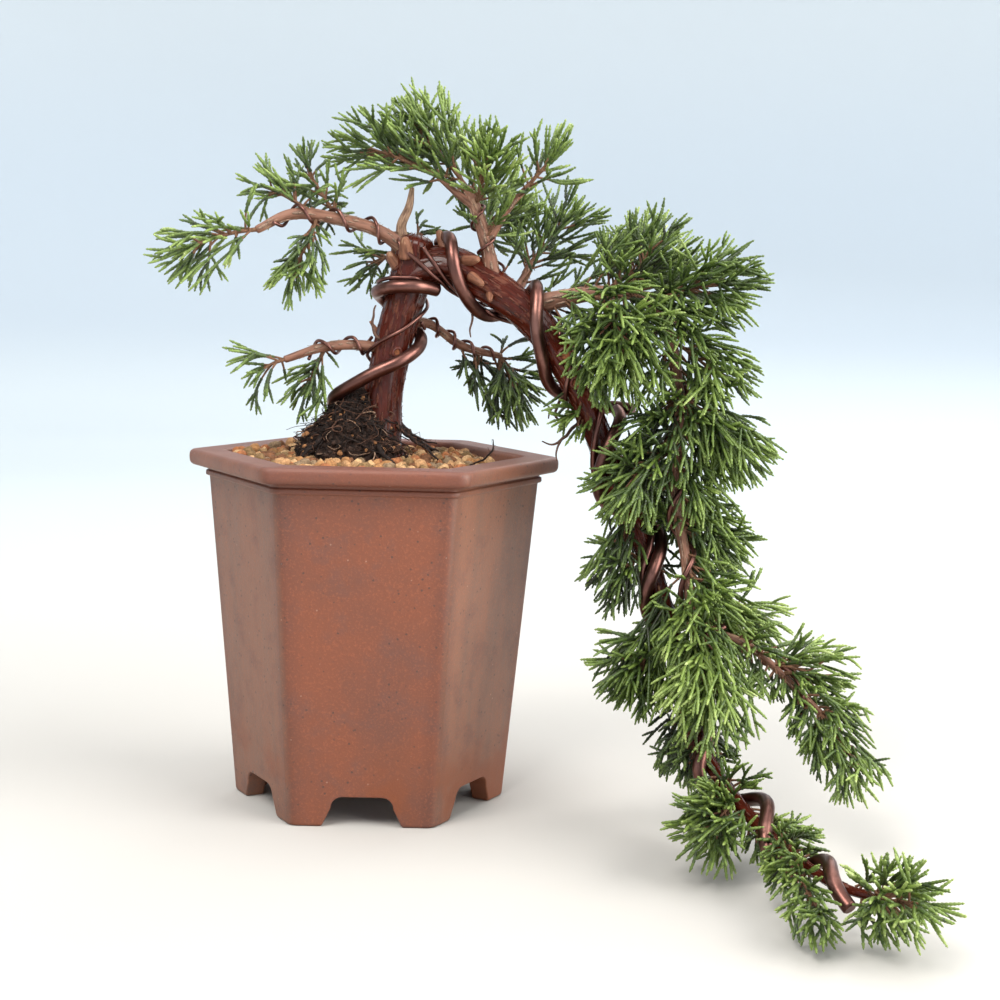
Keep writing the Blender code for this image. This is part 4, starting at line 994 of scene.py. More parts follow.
def one_lump(seed, detail):
    """One rounded, angular lump, about a unit from its middle to its ends."""
    work = bmesh.new()
    bmesh.ops.create_icosphere(work, subdivisions=detail, radius=1.0)
    draw = random.Random(seed)
    shift = Vector((seed * 7.3, seed * 1.7, 0))
    squeeze = Vector((1.0, draw.uniform(0.72, 0.9), draw.uniform(0.6, 0.8)))
    for vertex in work.verts:
        swell = (1 + 0.34 * noise.noise(vertex.co * 1.1 + shift)
                 + 0.12 * noise.noise(vertex.co * 3 + shift))
        vertex.co = Vector(part * by for part, by in zip(vertex.co * swell, squeeze))
    mesh = bpy.data.meshes.new("lump")
    work.to_mesh(mesh)
    work.free()
    return new_piece("lump", mesh)


def lumps(name, detail):
    return hidden_group(name, [one_lump(seed + 1, detail) for seed in range(LUMP_KINDS)])


def wall_distance(turn, radius):
    """How far the rounded hexagon's wall stands from the axis in a direction."""
    aside = (turn - POT_TURN) % (math.pi / 3) - math.pi / 6
    return min(radius * math.cos(math.pi / SIDES) / math.cos(aside), radius - 0.8)


def soil_rings(drop, shares, spread, count=96):
    rings = []
    for share in shares:
        ring = []
        for turn in np.arange(count) * 2 * math.pi / count:
            away = share * wall_distance(turn, spread)
            x, y = away * math.cos(turn), away * math.sin(turn)
            ring.append(POT_PLACE + MM * np.array([x, y, soil_height(x, y) - drop]))
        rings.append(ring)
    return rings


def build_soil():
    """A bed of fine grit, with granules strewn over it in two sizes."""
    spread = CAVITY_TOP_RADIUS - 1.0
    rings = soil_rings(SOIL_SUNK, np.linspace(1.0, 0.02, 30), spread)
    foot = [point - np.array([0, 0, 12 * MM]) for point in rings[0]]
    bed_mesh = new_mesh("soil_bed", *skin_rings([foot] + rings))
    bed = outward(new_piece("soil_bed", bed_mesh, granule("soil_grit", paint(112, 80, 56))))
    part_of_plant(bed, "soil_granules", "soil")

    finishes = [granule(f"granule_{name}", paint(*colour)) for name, colour in GRANULE_COLOURS.items()]
    tree = scatter_tree(len(finishes))
    dealt = {f"Finish{kind}": finish for kind, finish in enumerate(finishes)}
    for name, (spacing, size, drop, detail) in STREWN.items():
        rings = soil_rings(drop, np.linspace(1.0, 0.02, 20), spread - 2.4)
        field = new_mesh(name, *open_skin(rings))
        piece = tree.run(name, field, Lumps=lumps(name + "_shapes", detail), Spacing=spacing * MM,
                         Smallest=0.72 * size * MM, Largest=1.12 * size * MM, Seed=len(name), **dealt)
        part_of_plant(piece, "soil_granules")


def mound_point(share, turn, off=0.0):
    """A place on the mound's skin, or off it: share is 0 at the soil and 1 at its top."""
    height = SOIL_MIDDLE + share * (MOUND_TOP[2] - SOIL_MIDDLE)
    swell = (1 - min(share, 1.0)) ** 0.8
    around = Vector((math.cos(turn), math.sin(turn), height * 0.045))
    lumpy = (1 + 0.16 * noise.noise(around * 2.2) + 0.20 * noise.noise(around * 5.0)
             + 0.13 * noise.noise(around * 11.0) + 0.07 * noise.noise(around * 25.0))
    flat = [middle + share * (top - middle)
            + ((crown * 0.5 + (foot - crown * 0.5) * swell) * lumpy + off) * way
            for middle, top, crown, foot, way in zip(MOUND_MIDDLE, MOUND_TOP, MOUND_CROWN, MOUND_SPREAD,
                                                     (math.cos(turn), math.sin(turn)))]
    return POT_PLACE + MM * np.array(flat + [height])


def build_mound(tubes):
    """A lumpy heap of earth and clods, with hair roots and surface roots that curl over it."""
    turns = np.arange(MOUND_SIDES) * 2 * math.pi / MOUND_SIDES
    rings = [[mound_point(share, turn) for turn in turns] for share in np.linspace(-0.12, 1.0, 44)]
    cap = [mound_point(1.0, turn) * 0.35 + np.mean(rings[-1], axis=0) * 0.65 for turn in turns]
    mound = outward(new_piece("mound_earth", new_mesh("mound_earth", *skin_rings(rings + [cap])),
                              root_earth()))
    part_of_plant(mound, "root_mound", "root_mound")

    shells = [[mound_point(share, turn, off=-0.4) for turn in turns]
              for share in np.linspace(-0.05, 1.0, 40)]
    clods = [root_earth(), plain_wood("peat", paint(58, 42, 34), 0.95)] * 4
    clods[5] = granule("caught_granule", paint(168, 118, 78))      # one clod in eight is a granule
    piece = scatter_tree(len(clods)).run(
        "clods", new_mesh("clods", *open_skin(shells)), Lumps=lumps("clod_shapes", 1), Seed=3,
        Spacing=1.5 * MM, Smallest=0.45 * MM, Largest=1.7 * MM,
        **{f"Finish{kind}": finish for kind, finish in enumerate(clods)})
    part_of_plant(piece, "root_mound")

    draw = random.Random(4)
    batches = {name: ([], []) for name in HAIR_COLOURS}
    for number in range(HAIR_ROOTS):
        share, turn = draw.uniform(-0.05, 0.9), draw.uniform(0, 2 * math.pi)
        course, curl = draw.uniform(0, 2 * math.pi), draw.uniform(-0.5, 0.5)
        stray = draw.choice((0.0, 0.0, 0.1, 0.5))
        path = []
        for step in range(draw.randint(6, 12)):
            off = 0.3 + draw.uniform(0, 0.5) + stray * step * (1 + 0.4 * math.sin(step + course))
            path.append(mound_point(share, turn, off))
            course += curl + draw.uniform(-0.5, 0.5)
            share = min(0.98, max(-0.06, share + 0.036 * math.sin(course) - 0.012))
            turn += 0.075 * math.cos(course) / (1.15 - share)
        thick = HAIR_ROOT_RADIUS * draw.choice((0.6, 0.8, 1.0, 1.9)) * MM
        paths, radii = batches["silver" if number % 17 == 0 else "brown" if number % 4 == 0 else "dark"]
        paths.append(smooth_rows(path, 0.9 * MM))
        radii.append(np.linspace(1.0, 0.5, len(paths[-1])) * thick)
    for rows in SURFACE_ROOTS:
        for name, radius in (("dark", 1.0), ("brown", 0.25), ("brown", 0.2)):
            points = smooth_rows(np.array(rows) * MM, 0.9 * MM)
            points[:, :3] += POT_PLACE
            stray = (0.9 if name == "dark" else 2.4) * MM
            points[:, :3] += stray * np.array([noise.noise_vector(Vector(point[:3] * 300 / radius))
                                               for point in points])
            batches[name][0].append(points[:, :3])
            batches[name][1].append(points[:, 3] * radius)
    for name, (paths, radii) in batches.items():
        piece = tubes.run(f"hair_roots_{name}", paths_mesh("hair", paths, radius=radii), Sides=4,
                          Finish=plain_wood(f"{name}_root", paint(*HAIR_COLOURS[name]), 0.85))
        part_of_plant(piece, "root_mound")


# ================================================================ limbs
def bark_relief(girth, spin, travel, seed):
    """How far the bark stands out, in millimetres: slow bulges, twisted ridges and fine strips."""
    across = girth / FIBRE / (2 * math.pi)
    around = Vector((math.cos(spin), math.sin(spin), 0))
    broad = noise.noise(around * 1.1 + Vector((0, 0, travel / 17 + seed)))
    muscle = noise.noise(around * 2.3 + Vector((0, 0, travel / 34 + seed * 2)))
    ridge = noise.noise(around * across * 0.55 + Vector((0, 0, travel / 11 + seed * 3)))
    strip = noise.noise(around * across * 1.3 + Vector((0, 0, travel / 6 + seed * 5)))
    size = girth / (2 * math.pi)
    return size * (0.08 * broad + 0.12 * muscle) + min(0.5, 0.09 * size) * ridge * 0.6 + 0.05 * strip


def limb_mesh(name, line, seed):
    """A limb's skin with its bark's relief, and the run of its grain kept as an attribute."""
    girth = 2 * math.pi * line.radii.max() / MM
    sides = int(min(72, max(18, girth / 0.75)))
    rings, grains, alongs = [], [], []
    travels = list(np.linspace(0, line.length, max(8, round(line.length / (RING_STEP * MM)))))
    dome = [(line.length, math.cos(turn), 0.55 * math.sin(turn))
            for turn in np.radians((25, 50, 70, 84))]
    for travel, shrink, beyond in [(travel, 1.0, 0.0) for travel in travels] + dome:
        middle, radius, front, side, tangent = line.frame(travel)
        middle = middle + tangent * beyond * radius
        twist = travel / MM * 0.012
        ring = []
        for k in range(sides):
            turn = 2 * math.pi * k / sides
            spin = turn + twist
            out = math.cos(turn) * front + math.sin(turn) * side
            relief = bark_relief(2 * math.pi * radius / MM, spin, travel / MM, seed)
            ring.append(middle + out * (radius + relief * MM) * shrink)
            across = radius / MM / FIBRE
            grains.append((across * math.cos(spin) + seed, across * math.sin(spin), travel / MM / 7.0))
            alongs.append(tangent)
        rings.append(ring)
    grains += [grains[0], grains[-1]]
    alongs += [alongs[0], alongs[-1]]
    mesh = new_mesh(name, *skin_rings(rings))
    for key, values in (("grain", grains), ("along", alongs)):
        mesh.attributes.new(key, "FLOAT_VECTOR", "POINT").data.foreach_set(
            "vector", np.array(values, np.float32).ravel())
    return mesh


def flake(seed):
    """A papery strip of bark, a unit long, curled up at its ends."""
    draw = random.Random(seed)
    rings = []
    for share in np.linspace(-0.5, 0.5, 6):
        half = 0.16 * (1 - (2 * abs(share)) ** 3 * 0.8) * draw.uniform(0.8, 1.2)
        lift = 0.05 + 0.22 * (2 * abs(share)) ** 3 * draw.uniform(0.3, 1.3)
        ring = [(share, half, lift - 0.05), (share, 0.0, lift + 0.03), (share, -half, lift - 0.05),
                (share, 0.0, lift - 0.05)]
        rings.append([np.array(point) for point in ring])
    return outward(new_piece("flake", new_mesh("flake", *skin_rings(rings))))


def flake_tree():
    """Lays strips of bark along a limb's grain."""
    tree = Tree("flakes", Strips="Collection", Spacing="Float", Smallest="Vector", Largest="Vector",
                Seed="Int", Finish="Material")
    scatter = tree.node("GeometryNodeDistributePointsOnFaces", {"distribute_method": "POISSON"},
                        {"Mesh": tree.start, "Distance Min": tree.input("Spacing"),
                         "Density Max": 1e6, "Density Factor": 0.55, "Seed": tree.input("Seed")})
    rotation = tree.node("FunctionNodeAxesToRotation",
                         {"primary_axis": "Z", "secondary_axis": "X"},
                         {"Primary Axis": scatter.node.outputs["Normal"],
                          "Secondary Axis": tree.named("along", "FLOAT_VECTOR")})
    size = tree.random("FLOAT_VECTOR", tree.input("Smallest"), tree.input("Largest"))
    return tree.finished(tree.strewn("Strips", scatter, rotation, size))


def build_limbs(lines):
    red = bark("red_bark", paint(34, 12, 8), paint(74, 24, 12), paint(106, 57, 37), 0.2)
    grey = bark("grey_bark", paint(84, 54, 42), paint(134, 94, 76), paint(176, 142, 116), 0.42)
    dead = bare_wood()
    strips = hidden_group("strips", [flake(seed) for seed in range(FLAKE_KINDS)])
    flakes = flake_tree()
    red_flake = plain_wood("red_flake", paint(96, 50, 36), 0.6)
    grey_flake = plain_wood("grey_flake", paint(150, 122, 104), 0.8)
    for seed, (name, (line, nodes)) in enumerate(LIMB_PIECES.items()):
        thick = line in ("trunk", "cascade")
        finish = dead if line == "jin" else red if thick else grey
        mesh = limb_mesh(name, lines[line], seed)
        slot = "bare_wood" if line == "jin" else "juniper_bark"
        limb = part_of_plant(outward(new_piece(name, mesh, finish)), slot, *nodes)
        if line != "jin":
            peeled = flakes.run(name + "_strips", limb.data.copy(), Strips=strips, Seed=seed,
                                Spacing=FLAKE_SPACING * MM, Smallest=FLAKE_SMALLEST,
                                Largest=FLAKE_LARGEST, Finish=red_flake if thick else grey_flake)
            part_of_plant(peeled, "juniper_bark")


def on_bark(lines, row):
    """A place on a limb's skin, with the way out and the way along."""
    line = lines[row[0]]
    middle, radius, front, side, tangent = line.frame(row[1] * line.length)
    turn = math.radians(row[2])
    out = math.cos(turn) * front + math.sin(turn) * side
    return middle + out * radius, out, tangent


def build_pegs(lines):
    """Broken pegs of dead wood, each with its own grain, as one piece."""
    work = bmesh.new()
    for seed, row in enumerate(PEGS):
        place, out, tangent = on_bark(lines, row)
        length, radius, lean = row[3:]
        way = unit(out + lean * tangent)
        tapers = ((-1.5, 1.25), (0.2 * length, 1.0), (0.7 * length, 0.82), (length, 0.55))
        rows = [(*((place - POT_PLACE) / MM + way * along), radius * thick) for along, thick in tapers]
        work.from_mesh(limb_mesh("peg", Line(rows, 1.0), seed + 20))
    mesh = bpy.data.meshes.new("pegs")
    work.to_mesh(mesh)
    work.free()
    finish = bark("peg_wood", paint(78, 42, 30), paint(132, 88, 66), paint(172, 134, 106), 0.5)
    part_of_plant(outward(new_piece("dead_pegs", mesh, finish)), "bare_wood")


def scar_ring(place, out, tangent, radius, wide, rise, number):
    """A ragged ring round a scar's middle, so wide and so far above the bark for its radius."""
    ring = []
    for turn in np.arange(SCAR_SIDES) * 2 * math.pi / SCAR_SIDES:
        ragged = 1 + 0.16 * noise.noise(Vector((math.cos(turn), math.sin(turn), number * 3.7)))
        aside = math.cos(turn) * tangent + math.sin(turn) * np.cross(out, tangent)
        ring.append(place + MM * (out * (radius * rise + 0.15) + radius * wide * ragged * aside))
    return ring


def build_scars(lines):
    """Pruning scars: a healed collar of bark round a sunk face of bare wood."""
    for name, profile, finish in (
            ("scar_collars", ((1.55, -0.9), (1.45, 0.25), (1.15, 0.62), (0.85, 0.5), (0.7, 0.1)),
             plain_wood("healed_bark", paint(88, 42, 32), 0.4)),
            ("scar_faces", ((0.95, -0.6), (0.95, 0.22), (0.5, 0.12)),
             plain_wood("scar_wood", paint(150, 92, 60), 0.8))):
        vertices, faces = [], []
        for number, row in enumerate(SCARS):
            rings = [scar_ring(*on_bark(lines, row), row[3], wide, rise, number)
                     for wide, rise in profile]
            points, sides = skin_rings(rings)
            faces += [tuple(corner + len(vertices) for corner in face) for face in sides]
            vertices += list(points)
        part_of_plant(outward(new_piece(name, new_mesh(name, vertices, faces), finish)), "juniper_bark")


def build_dead_twigs(tubes):
    """Bare twigs on the trunk and under the cascade's first bend, slightly crooked."""
    rows = [smooth_rows(twig, 1.0) * MM for twig in DEAD_TWIGS]
    paths = [row[:, :3] + POT_PLACE + 0.8 * MM * np.array([noise.noise_vector(Vector(point * 250))
                                                           for point in row[:, :3]]) for row in rows]
    piece = tubes.run("dead_twigs", paths_mesh("dead_twigs", paths, radius=[row[:, 3] for row in rows]),
                      Sides=6, Finish=plain_wood("dead_twig_wood", paint(96, 70, 58), 0.85))
    part_of_plant(piece, "bare_wood")


# ================================================================ wire
def wire_path(line, places, radius):
    """A coil that keeps clear of the bark, its turn and its place growing evenly between places."""
    travels, turns, stands = np.array(places).T
    travels, turns, stands = travels * line.length, np.radians(turns), stands * MM
    points = []
    for k in range(len(places) - 1):
        stretch = abs(turns[k + 1] - turns[k]) * (line.frame(travels[k])[1] + radius + stands[k])
        steps = max(1, round(math.hypot(stretch, travels[k + 1] - travels[k]) / (WIRE_STEP * MM)))
        last = k == len(places) - 2
        for share in np.arange(steps + last) / steps:
            travel, turn, stand = ((1 - share) * values[k] + share * values[k + 1]
                                   for values in (travels, turns, stands))
            middle, limb, front, side, _ = line.frame(travel)
            out = math.cos(turn) * front + math.sin(turn) * side
            points.append(middle + out * (limb * 1.05 + radius + CLEAR + stand))
    points = np.array(points)
    for _ in range(WIRE_EASING):
        points[1:-1] = 0.6 * points[1:-1] + 0.2 * (points[:-2] + points[2:])
        for _ in range(3):
            points = push_clear(points, limbs_room, radius + CLEAR * 1.5)
    return points


def push_clear(points, room, margin):
    """Moves points straight away from the nearest run until they are a margin clear of it."""
    moved = points.copy()
    for k, point in enumerate(points):
        others = room.ends - room.starts
        share = np.clip(np.einsum("ij,ij->i", point - room.starts, others)
                        / (np.einsum("ij,ij->i", others, others) + 1e-18), 0, 1)
        apart = point - room.starts - share[:, None] * others
        gaps = np.linalg.norm(apart, axis=1) - room.radii
        nearest = int(np.argmin(gaps))
        if gaps[nearest] < margin:
            moved[k] = point + unit(apart[nearest]) * (margin - gaps[nearest])
    return moved


def cut_ends(path, radius):
    """A wire's path and radii, with both ends cut off square and their edges taken off."""
    points = smooth_rows(path, WIRE_FINE_STEP * MM)
    first, last = unit(points[0] - points[1]), unit(points[-1] - points[-2])
    chamfer = 0.22 * radius
    points = np.vstack([[points[0] + first * chamfer], points, [points[-1] + last * chamfer]])
    radii = np.full(len(points), radius)
    radii[[0, -1]] = radius - chamfer
    return points, radii


def build_wires(lines, tubes):
    """Each thick coil as a piece of its own, then the thin strands and joining lengths as one."""
    metal = wire_metal()
    paths = {name: wire_path(lines[line], places, radius * MM)
             for name, (radius, line, places) in WIRES.items()}
    for name, path in paths.items():
        radius = WIRES[name][0] * MM
        points, radii = cut_ends(path, radius)
        piece = tubes.run(name.replace("wire", "coil"), paths_mesh(name, [points], radius=[radii]),
                          Sides=WIRE_SIDES, Finish=metal)
        part_of_plant(piece, "anodised_wire", name)
        limbs_room.add(path, radius)
    strands = []
    for radius, line, places in THIN_WIRES.values():
        path = wire_path(lines[line], places, radius * MM)
        limbs_room.add(path, radius * MM)
        strands.append(cut_ends(path, radius * MM))
    points, radii = zip(*strands)
    piece = tubes.run("thin_coils", paths_mesh("thin_coils", points, radius=radii),
                      Sides=THIN_WIRE_SIDES, Finish=metal)
    part_of_plant(piece, "anodised_wire")


# ================================================================ foliage
def heading(azimuth, rise):
    azimuth, rise = math.radians(azimuth), math.radians(rise)
    return np.array([math.cos(rise) * math.cos(azimuth), math.cos(rise) * math.sin(azimuth),
                     math.sin(rise)])


def arc(start, direction, length, bend, steps):
    """Points along a run that starts in a direction and turns by the bend vector."""
    share = np.linspace(0, 1, steps + 1)[:, None]
    return start + length * (share * direction + share**2 * bend)


class Mass:
    """One mass of foliage: a stem from its limb, with twigs and shoots that branch by a seeded rule."""
    stems = None                          # every mass's stem, once all of them are known

    def __init__(self, name, piece, number, lines, row):
        line_name, along, azimuth, rise, length, sag, reach, tone = row
        self.name = name + "_foliage"
        self.piece = piece
        self.number = number
        self.draw = random.Random(number + 1)
        self.reach = self.limit = reach * MM
        self.hang = 0.0
        self.tone = MIDDLE_TONE + tone
        self.line = lines[line_name]
        self.start = self.line.length * along
        self.stem = arc(self.line.frame(self.start)[0], heading(azimuth, rise), length * MM,
                        np.array([0, 0, -sag]), STEM_LEGS)
        self.twigs, self.bare, self.green = [], [], []

    def keeps_in(self, points):
        """Whether points are in this mass's own space, off the pot and above the ground."""
        if points[:, 2].min() < GROUND_CLEAR * MM:
            return False
        apart = np.linalg.norm(points[:, None, None] - Mass.stems[None], axis=3).min(axis=2)
        own = apart[:, self.number]
        if (own > self.limit).any() or (apart.min(axis=1) < own - BORDER_SLACK * MM).any():
            return False
        flat = np.linalg.norm(points[:, :2] - POT_PLACE[:2], axis=1)
        return not ((flat < POT_KEEP_OFF * MM) & (points[:, 2] < POT_KEEP_ABOVE * MM)).any()

    def place(self, root, direction, size, half, bend):
        """A path from a root, made shorter until it fits, or None."""
        for share in TWIG_SHORTER:
            length = size * share
            path = arc(root, direction, length, bend, max(2, round(length / (2.4 * MM))))
            if self.keeps_in(path[1:]) and limbs_room.gap(path[1], path[-1]) > half:
                return path
        return None

    def grow(self, hang, limb_twigs):
        """Twigs straight from the bark, then twigs round the stem at the golden angle.

        Each twig hangs and reaches as far as is drawn for it, so that the outline is ragged.
        """
        for _ in range(limb_twigs):
            self.hang = hang * self.draw.uniform(*TWIG_HANGS)
            twig = self.draw_limb_twig()
            if twig is not None:
                # painted shade: twigs straight from the bark lie deep in the mass, so their tone is
                # lower
                self.keep(twig, self.tone - 0.3)
        count = max(8, round(np.linalg.norm(self.stem[-1] - self.stem[0]) / (TWIG_SPACING * MM)))
        turn = self.draw.uniform(0, 2 * math.pi)
        for k in range(count + 1):
            self.limit = self.reach * self.draw.choice(TWIG_REACHES)
            self.hang = hang * self.draw.uniform(*TWIG_HANGS)
            best, most = None, -1.0
            for _ in range(TWIG_DRAWS):
                turn += GOLDEN_ANGLE
                twig = self.draw_twig(k / count, turn)
                if twig is None:
                    continue
                room = min((np.linalg.norm(twig[-1] - other[-1]) for other in self.twigs), default=1.0)
                worth = room + 0.5 * np.linalg.norm(twig[-1] - twig[0])
                if worth > most:
                    best, most = twig, worth
            if best is not None:
                self.keep(best, self.tone)

    def keep(self, twig, tone):
        self.twigs.append(twig)
        self.add_spray(twig, tone + self.draw.gauss(0, 0.6))

    def draw_twig(self, along, turn):
        """A twig from the stem: across it low down, and along it towards its tip."""
        share = 0.06 + 0.93 * along
        lean = math.radians(self.draw.uniform(*TWIG_LEANS)) * (1.15 - 0.55 * along)
        size = self.limit * self.draw.uniform(0.9, 1.3)
        place = share * STEM_LEGS
        low = min(int(place), STEM_LEGS - 1)
        root = self.stem[low] + (place - low) * (self.stem[low + 1] - self.stem[low])
        forward = unit(self.stem[low + 1] - self.stem[low])
        across = unit(np.cross(forward, [0.13, 0.21, 0.97]))
        out = math.cos(turn) * across + math.sin(turn) * np.cross(forward, across)
        direction = unit(math.cos(lean) * forward + math.sin(lean) * out + [0, 0, LIFT + self.hang])
        return self.place(root, direction, size, SHOOT_RADIUS * MM, self.bend(0.26))

    def draw_limb_twig(self):
        """A twig straight from the bark near the stem's foot, mostly on the stem's side."""
        travel = self.start + self.draw.uniform(-0.9, 0.9) * self.reach
        middle, radius, _, _, tangent = self.line.frame(min(max(travel, 0.0), self.line.length))
        towards = unit(self.stem[-1] - self.stem[0])
        out = unit(0.7 * towards + np.array([self.draw.gauss(0, 0.9) for _ in range(3)]))
        out = unit(out - tangent * (out @ tangent))
        direction = unit(out + tangent * self.draw.uniform(0.1, 0.9) + [0, 0, self.hang])
        size = self.reach * self.draw.uniform(0.7, 1.0)
        return self.place(middle + out * radius * 1.06, direction, size, 0.0, self.bend(0.26))

    def bend(self, much):
        """How a run turns over its length: a little at random, and up or down as the mass hangs."""
        return np.array([self.draw.uniform(-much, much), self.draw.uniform(-much, much),
                         self.draw.uniform(-0.7 * much, 0.7 * much) + self.hang])

    def add_spray(self, twig, tone):
        """A twig that is brown wood at its foot and green from there on, with its shoots."""
        length = np.linalg.norm(twig[-1] - twig[0])
        wood = max(1, round((len(twig) - 1) * self.draw.uniform(0.25, 0.45)))
        self.bare.append((twig[:wood + 1], TWIG_RADIUS * MM))
        self.green.append((twig[wood:], SHOOT_RADIUS * MM, tone))
        for path in self.side_shoots(twig, 0.2, SHOOT_SPACING, length * SHOOT_LENGTH, 4.5):
            own = tone + self.draw.gauss(0, 0.3)
            self.green.append((path, 0.96 * SHOOT_RADIUS * MM, own))
            reach = np.linalg.norm(path[-1] - path[0])
            if reach > 7 * MM:
                for small in self.side_shoots(path, 0.25, SMALL_SHOOT_SPACING,
                                              reach * SMALL_SHOOT_LENGTH, 4.0):
                    self.green.append((small, 0.9 * SHOOT_RADIUS * MM, own + self.draw.gauss(0.2, 0.3)))

    def side_shoots(self, path, first, spacing, longest, least):
        """Shoots on alternate sides of a path, near one plane and shorter towards its tip."""
        found = []
        length = np.linalg.norm(path[-1] - path[0])
        forward = unit(path[-1] - path[0])
        flat = unit(np.cross(forward, [self.draw.uniform(-0.4, 0.4), self.draw.uniform(-0.4, 0.4), 1]))
        tilt = np.cross(forward, flat)
        count = int(length * (0.84 - first) / (spacing * MM))
        for k in range(count):
            share = first + (0.84 - first) * (k + self.draw.uniform(0.2, 0.8)) / count
            size = longest * (1.3 - 1.05 * share) * self.draw.uniform(0.7, 1.3)
            if size < least * MM:
                size = least * MM * self.draw.uniform(0.8, 1.2)
            lean = SHOOT_LEAN * self.draw.uniform(0.6, 1.4)
            roll = self.draw.uniform(-0.7, 0.9)
            place = share * (len(path) - 1)
            low = min(int(place), len(path) - 2)
            root = path[low] + (place - low) * (path[low + 1] - path[low])
            out = (-1) ** k * math.cos(roll) * flat + math.sin(roll) * tilt
            direction = unit(math.cos(lean) * forward + math.sin(lean) * out + [0, 0, 0.08])
            bend = self.bend(0.22) + forward * 0.22
            shoot = self.place(root, direction, size, SHOOT_RADIUS * 0.8 * MM, bend)
            if shoot is not None:
                found.append(shoot)
        return found


def scale_leaves():
    """A pair of scale leaves round a shoot: widest low down, pressed together at its tip."""
    belt = [np.array([math.cos(turn), 0.84 * math.sin(turn), 0.0])
            for turn in np.arange(LEAF_SIDES) * 2 * math.pi / LEAF_SIDES]
    vertices = belt + [np.array([0, 0, -0.9]), np.array([0, 0, LEAF_TIP])]
    faces = []
    for k in range(LEAF_SIDES):
        after = (k + 1) % LEAF_SIDES
        faces += [(k, after, LEAF_SIDES + 1), (after, k, LEAF_SIDES)]
    return hidden(outward(new_piece("scale_leaves", new_mesh("scale_leaves", vertices, faces))))


def shoot_values(path, radius, tone):
    """A shoot's radius, its leaves' length and its tone at each place.

    It is darkest at its foot, as painted shade deep in the spray, and pales towards its tip, as new
    growth does; its last leaves are short, so that the tip is blunt.
    """
    share = np.linspace(0, 1, len(path))
    left = (1 - share) * np.linalg.norm(np.diff(path, axis=0), axis=1).sum()
    # painted shade at each shoot's foot, deep in the spray; paler new growth at its tip
    tones = np.clip(np.round(tone - 1.5 + 2.4 * share), 0, len(GREENS) - 1)
    long = np.minimum(LEAF_PITCH * MM, (left + 0.9 * MM) / LEAF_TIP)
    return radius * (1 - 0.24 * share**8), long, tones


def build_foliage(lines, tubes):
    """Every mass in its own space, joined into a few pieces, then all of their bare twigs as one."""
    masses = []
    for piece, (_, _, rows) in FOLIAGE.items():
        for name, row in rows.items():
            masses.append(Mass(name, piece, len(masses), lines, row))
    Mass.stems = np.array([mass.stem for mass in masses])
    greens = [leaf_green(f"leaf_green_{number}", paint(*colour))
              for number, colour in enumerate(GREENS)]
    tree = shoot_tree(len(greens))
    dealt = {f"Tone{number}": finish for number, finish in enumerate(greens)}
    leaves = scale_leaves()
    for name, (hang, limb_twigs, _) in FOLIAGE.items():
        group = [mass for mass in masses if mass.piece == name]
        for mass in group:
            mass.grow(hang, limb_twigs)
        shoots = [(smooth_rows(path, 1.2 * MM), radius, tone)
                  for mass in group for path, radius, tone in mass.green]
        radii, longs, tones = zip(*(shoot_values(*shoot) for shoot in shoots))
        mesh = paths_mesh(name, [shoot[0] for shoot in shoots], radius=radii, long=longs, tone=tones)
        piece = tree.run(name, mesh, Leaves=leaves, Pitch=LEAF_PITCH * MM, **dealt)
        part_of_plant(piece, "juniper_foliage", *(mass.name for mass in group))
    bare = [(path, radius) for mass in masses for path, radius in mass.bare]
    paths = [smooth_rows(path, 1.5 * MM) for path, _ in bare]
    radii = [np.linspace(1.15, 0.9, len(path)) * radius for path, (_, radius) in zip(paths, bare)]
    stems = [smooth_rows(mass.stem, 1.5 * MM) for mass in masses]
    paths += stems
    radii += [np.linspace(STEM_RADIUS, 0.5, len(stem)) * MM for stem in stems]
    twigs = tubes.run("foliage_twigs", paths_mesh("twigs", paths, radius=radii), Sides=5,
                      Finish=plain_wood("twig_wood", paint(118, 84, 62), 0.75))
    part_of_plant(twigs, "juniper_bark")


# ================================================================ stage, light and camera
# sizes in metres
STAGE_RADIUS = 1.7
STAGE_BEND = 0.9
STAGE_HEIGHT = 1.9
STAGE_SIDES = 96
LIGHTS_AIM = (0.0, 0.0, 0.14)
# each lamp's place, width, power and colour
LIGHTS = {
    "key": ((-0.7, -1.0, 1.7), 0.9, 36.0, (1.0, 0.97, 0.93)),
    "fill": ((1.5, -0.6, 0.9), 1.8, 66.0, (1.0, 0.98, 0.95)),
    "top": ((0.0, 0.3, 1.8), 1.6, 16.0, (1.0, 1.0, 1.0)),
    "back": ((0.7, 1.5, 1.2), 1.2, 11.0, (1.0, 0.99, 0.97)),
}


def build_stage():
    """A pale round floor that sweeps up into a wall all round."""
    finish = Finish("pale_sweep", (0.93, 0.93, 0.93), 0.9, {"Specular IOR Level": 0.1})
    place = finish.place()
    height = finish.node("ShaderNodeSeparateXYZ", values={"Vector": place}, out="all")[2]
    away = finish.node("ShaderNodeVectorMath", {"operation": "LENGTH"}, {0: place}, "Value")
    finish.wear(base_color=finish.layers(
        paint(190, 187, 182),
        (finish.band(away, 0.2, 1.2), (201, 209, 211)),
        (finish.band(away, 1.2, 1.75), (215, 223, 227)),
        (finish.band(height, 0.0, 0.14), (197, 207, 216)),
        (finish.band(height, 0.3, 0.75), (204, 211, 216))))
    profile = [(STAGE_RADIUS + STAGE_BEND, STAGE_HEIGHT)]
    for turn in np.radians(np.linspace(90, 0, 13)):
        profile.append((STAGE_RADIUS + STAGE_BEND * math.sin(turn), STAGE_BEND * (1 - math.cos(turn))))
    rings = [[np.array([away * math.cos(turn), away * math.sin(turn), height])
              for turn in np.arange(STAGE_SIDES) * 2 * math.pi / STAGE_SIDES]
             for away, height in profile]
    vertices, faces = open_skin(rings)
    faces.append(tuple(range(len(vertices) - STAGE_SIDES, len(vertices))))
    floor = new_piece("pale_floor", new_mesh("pale_floor", vertices, faces), finish.material)


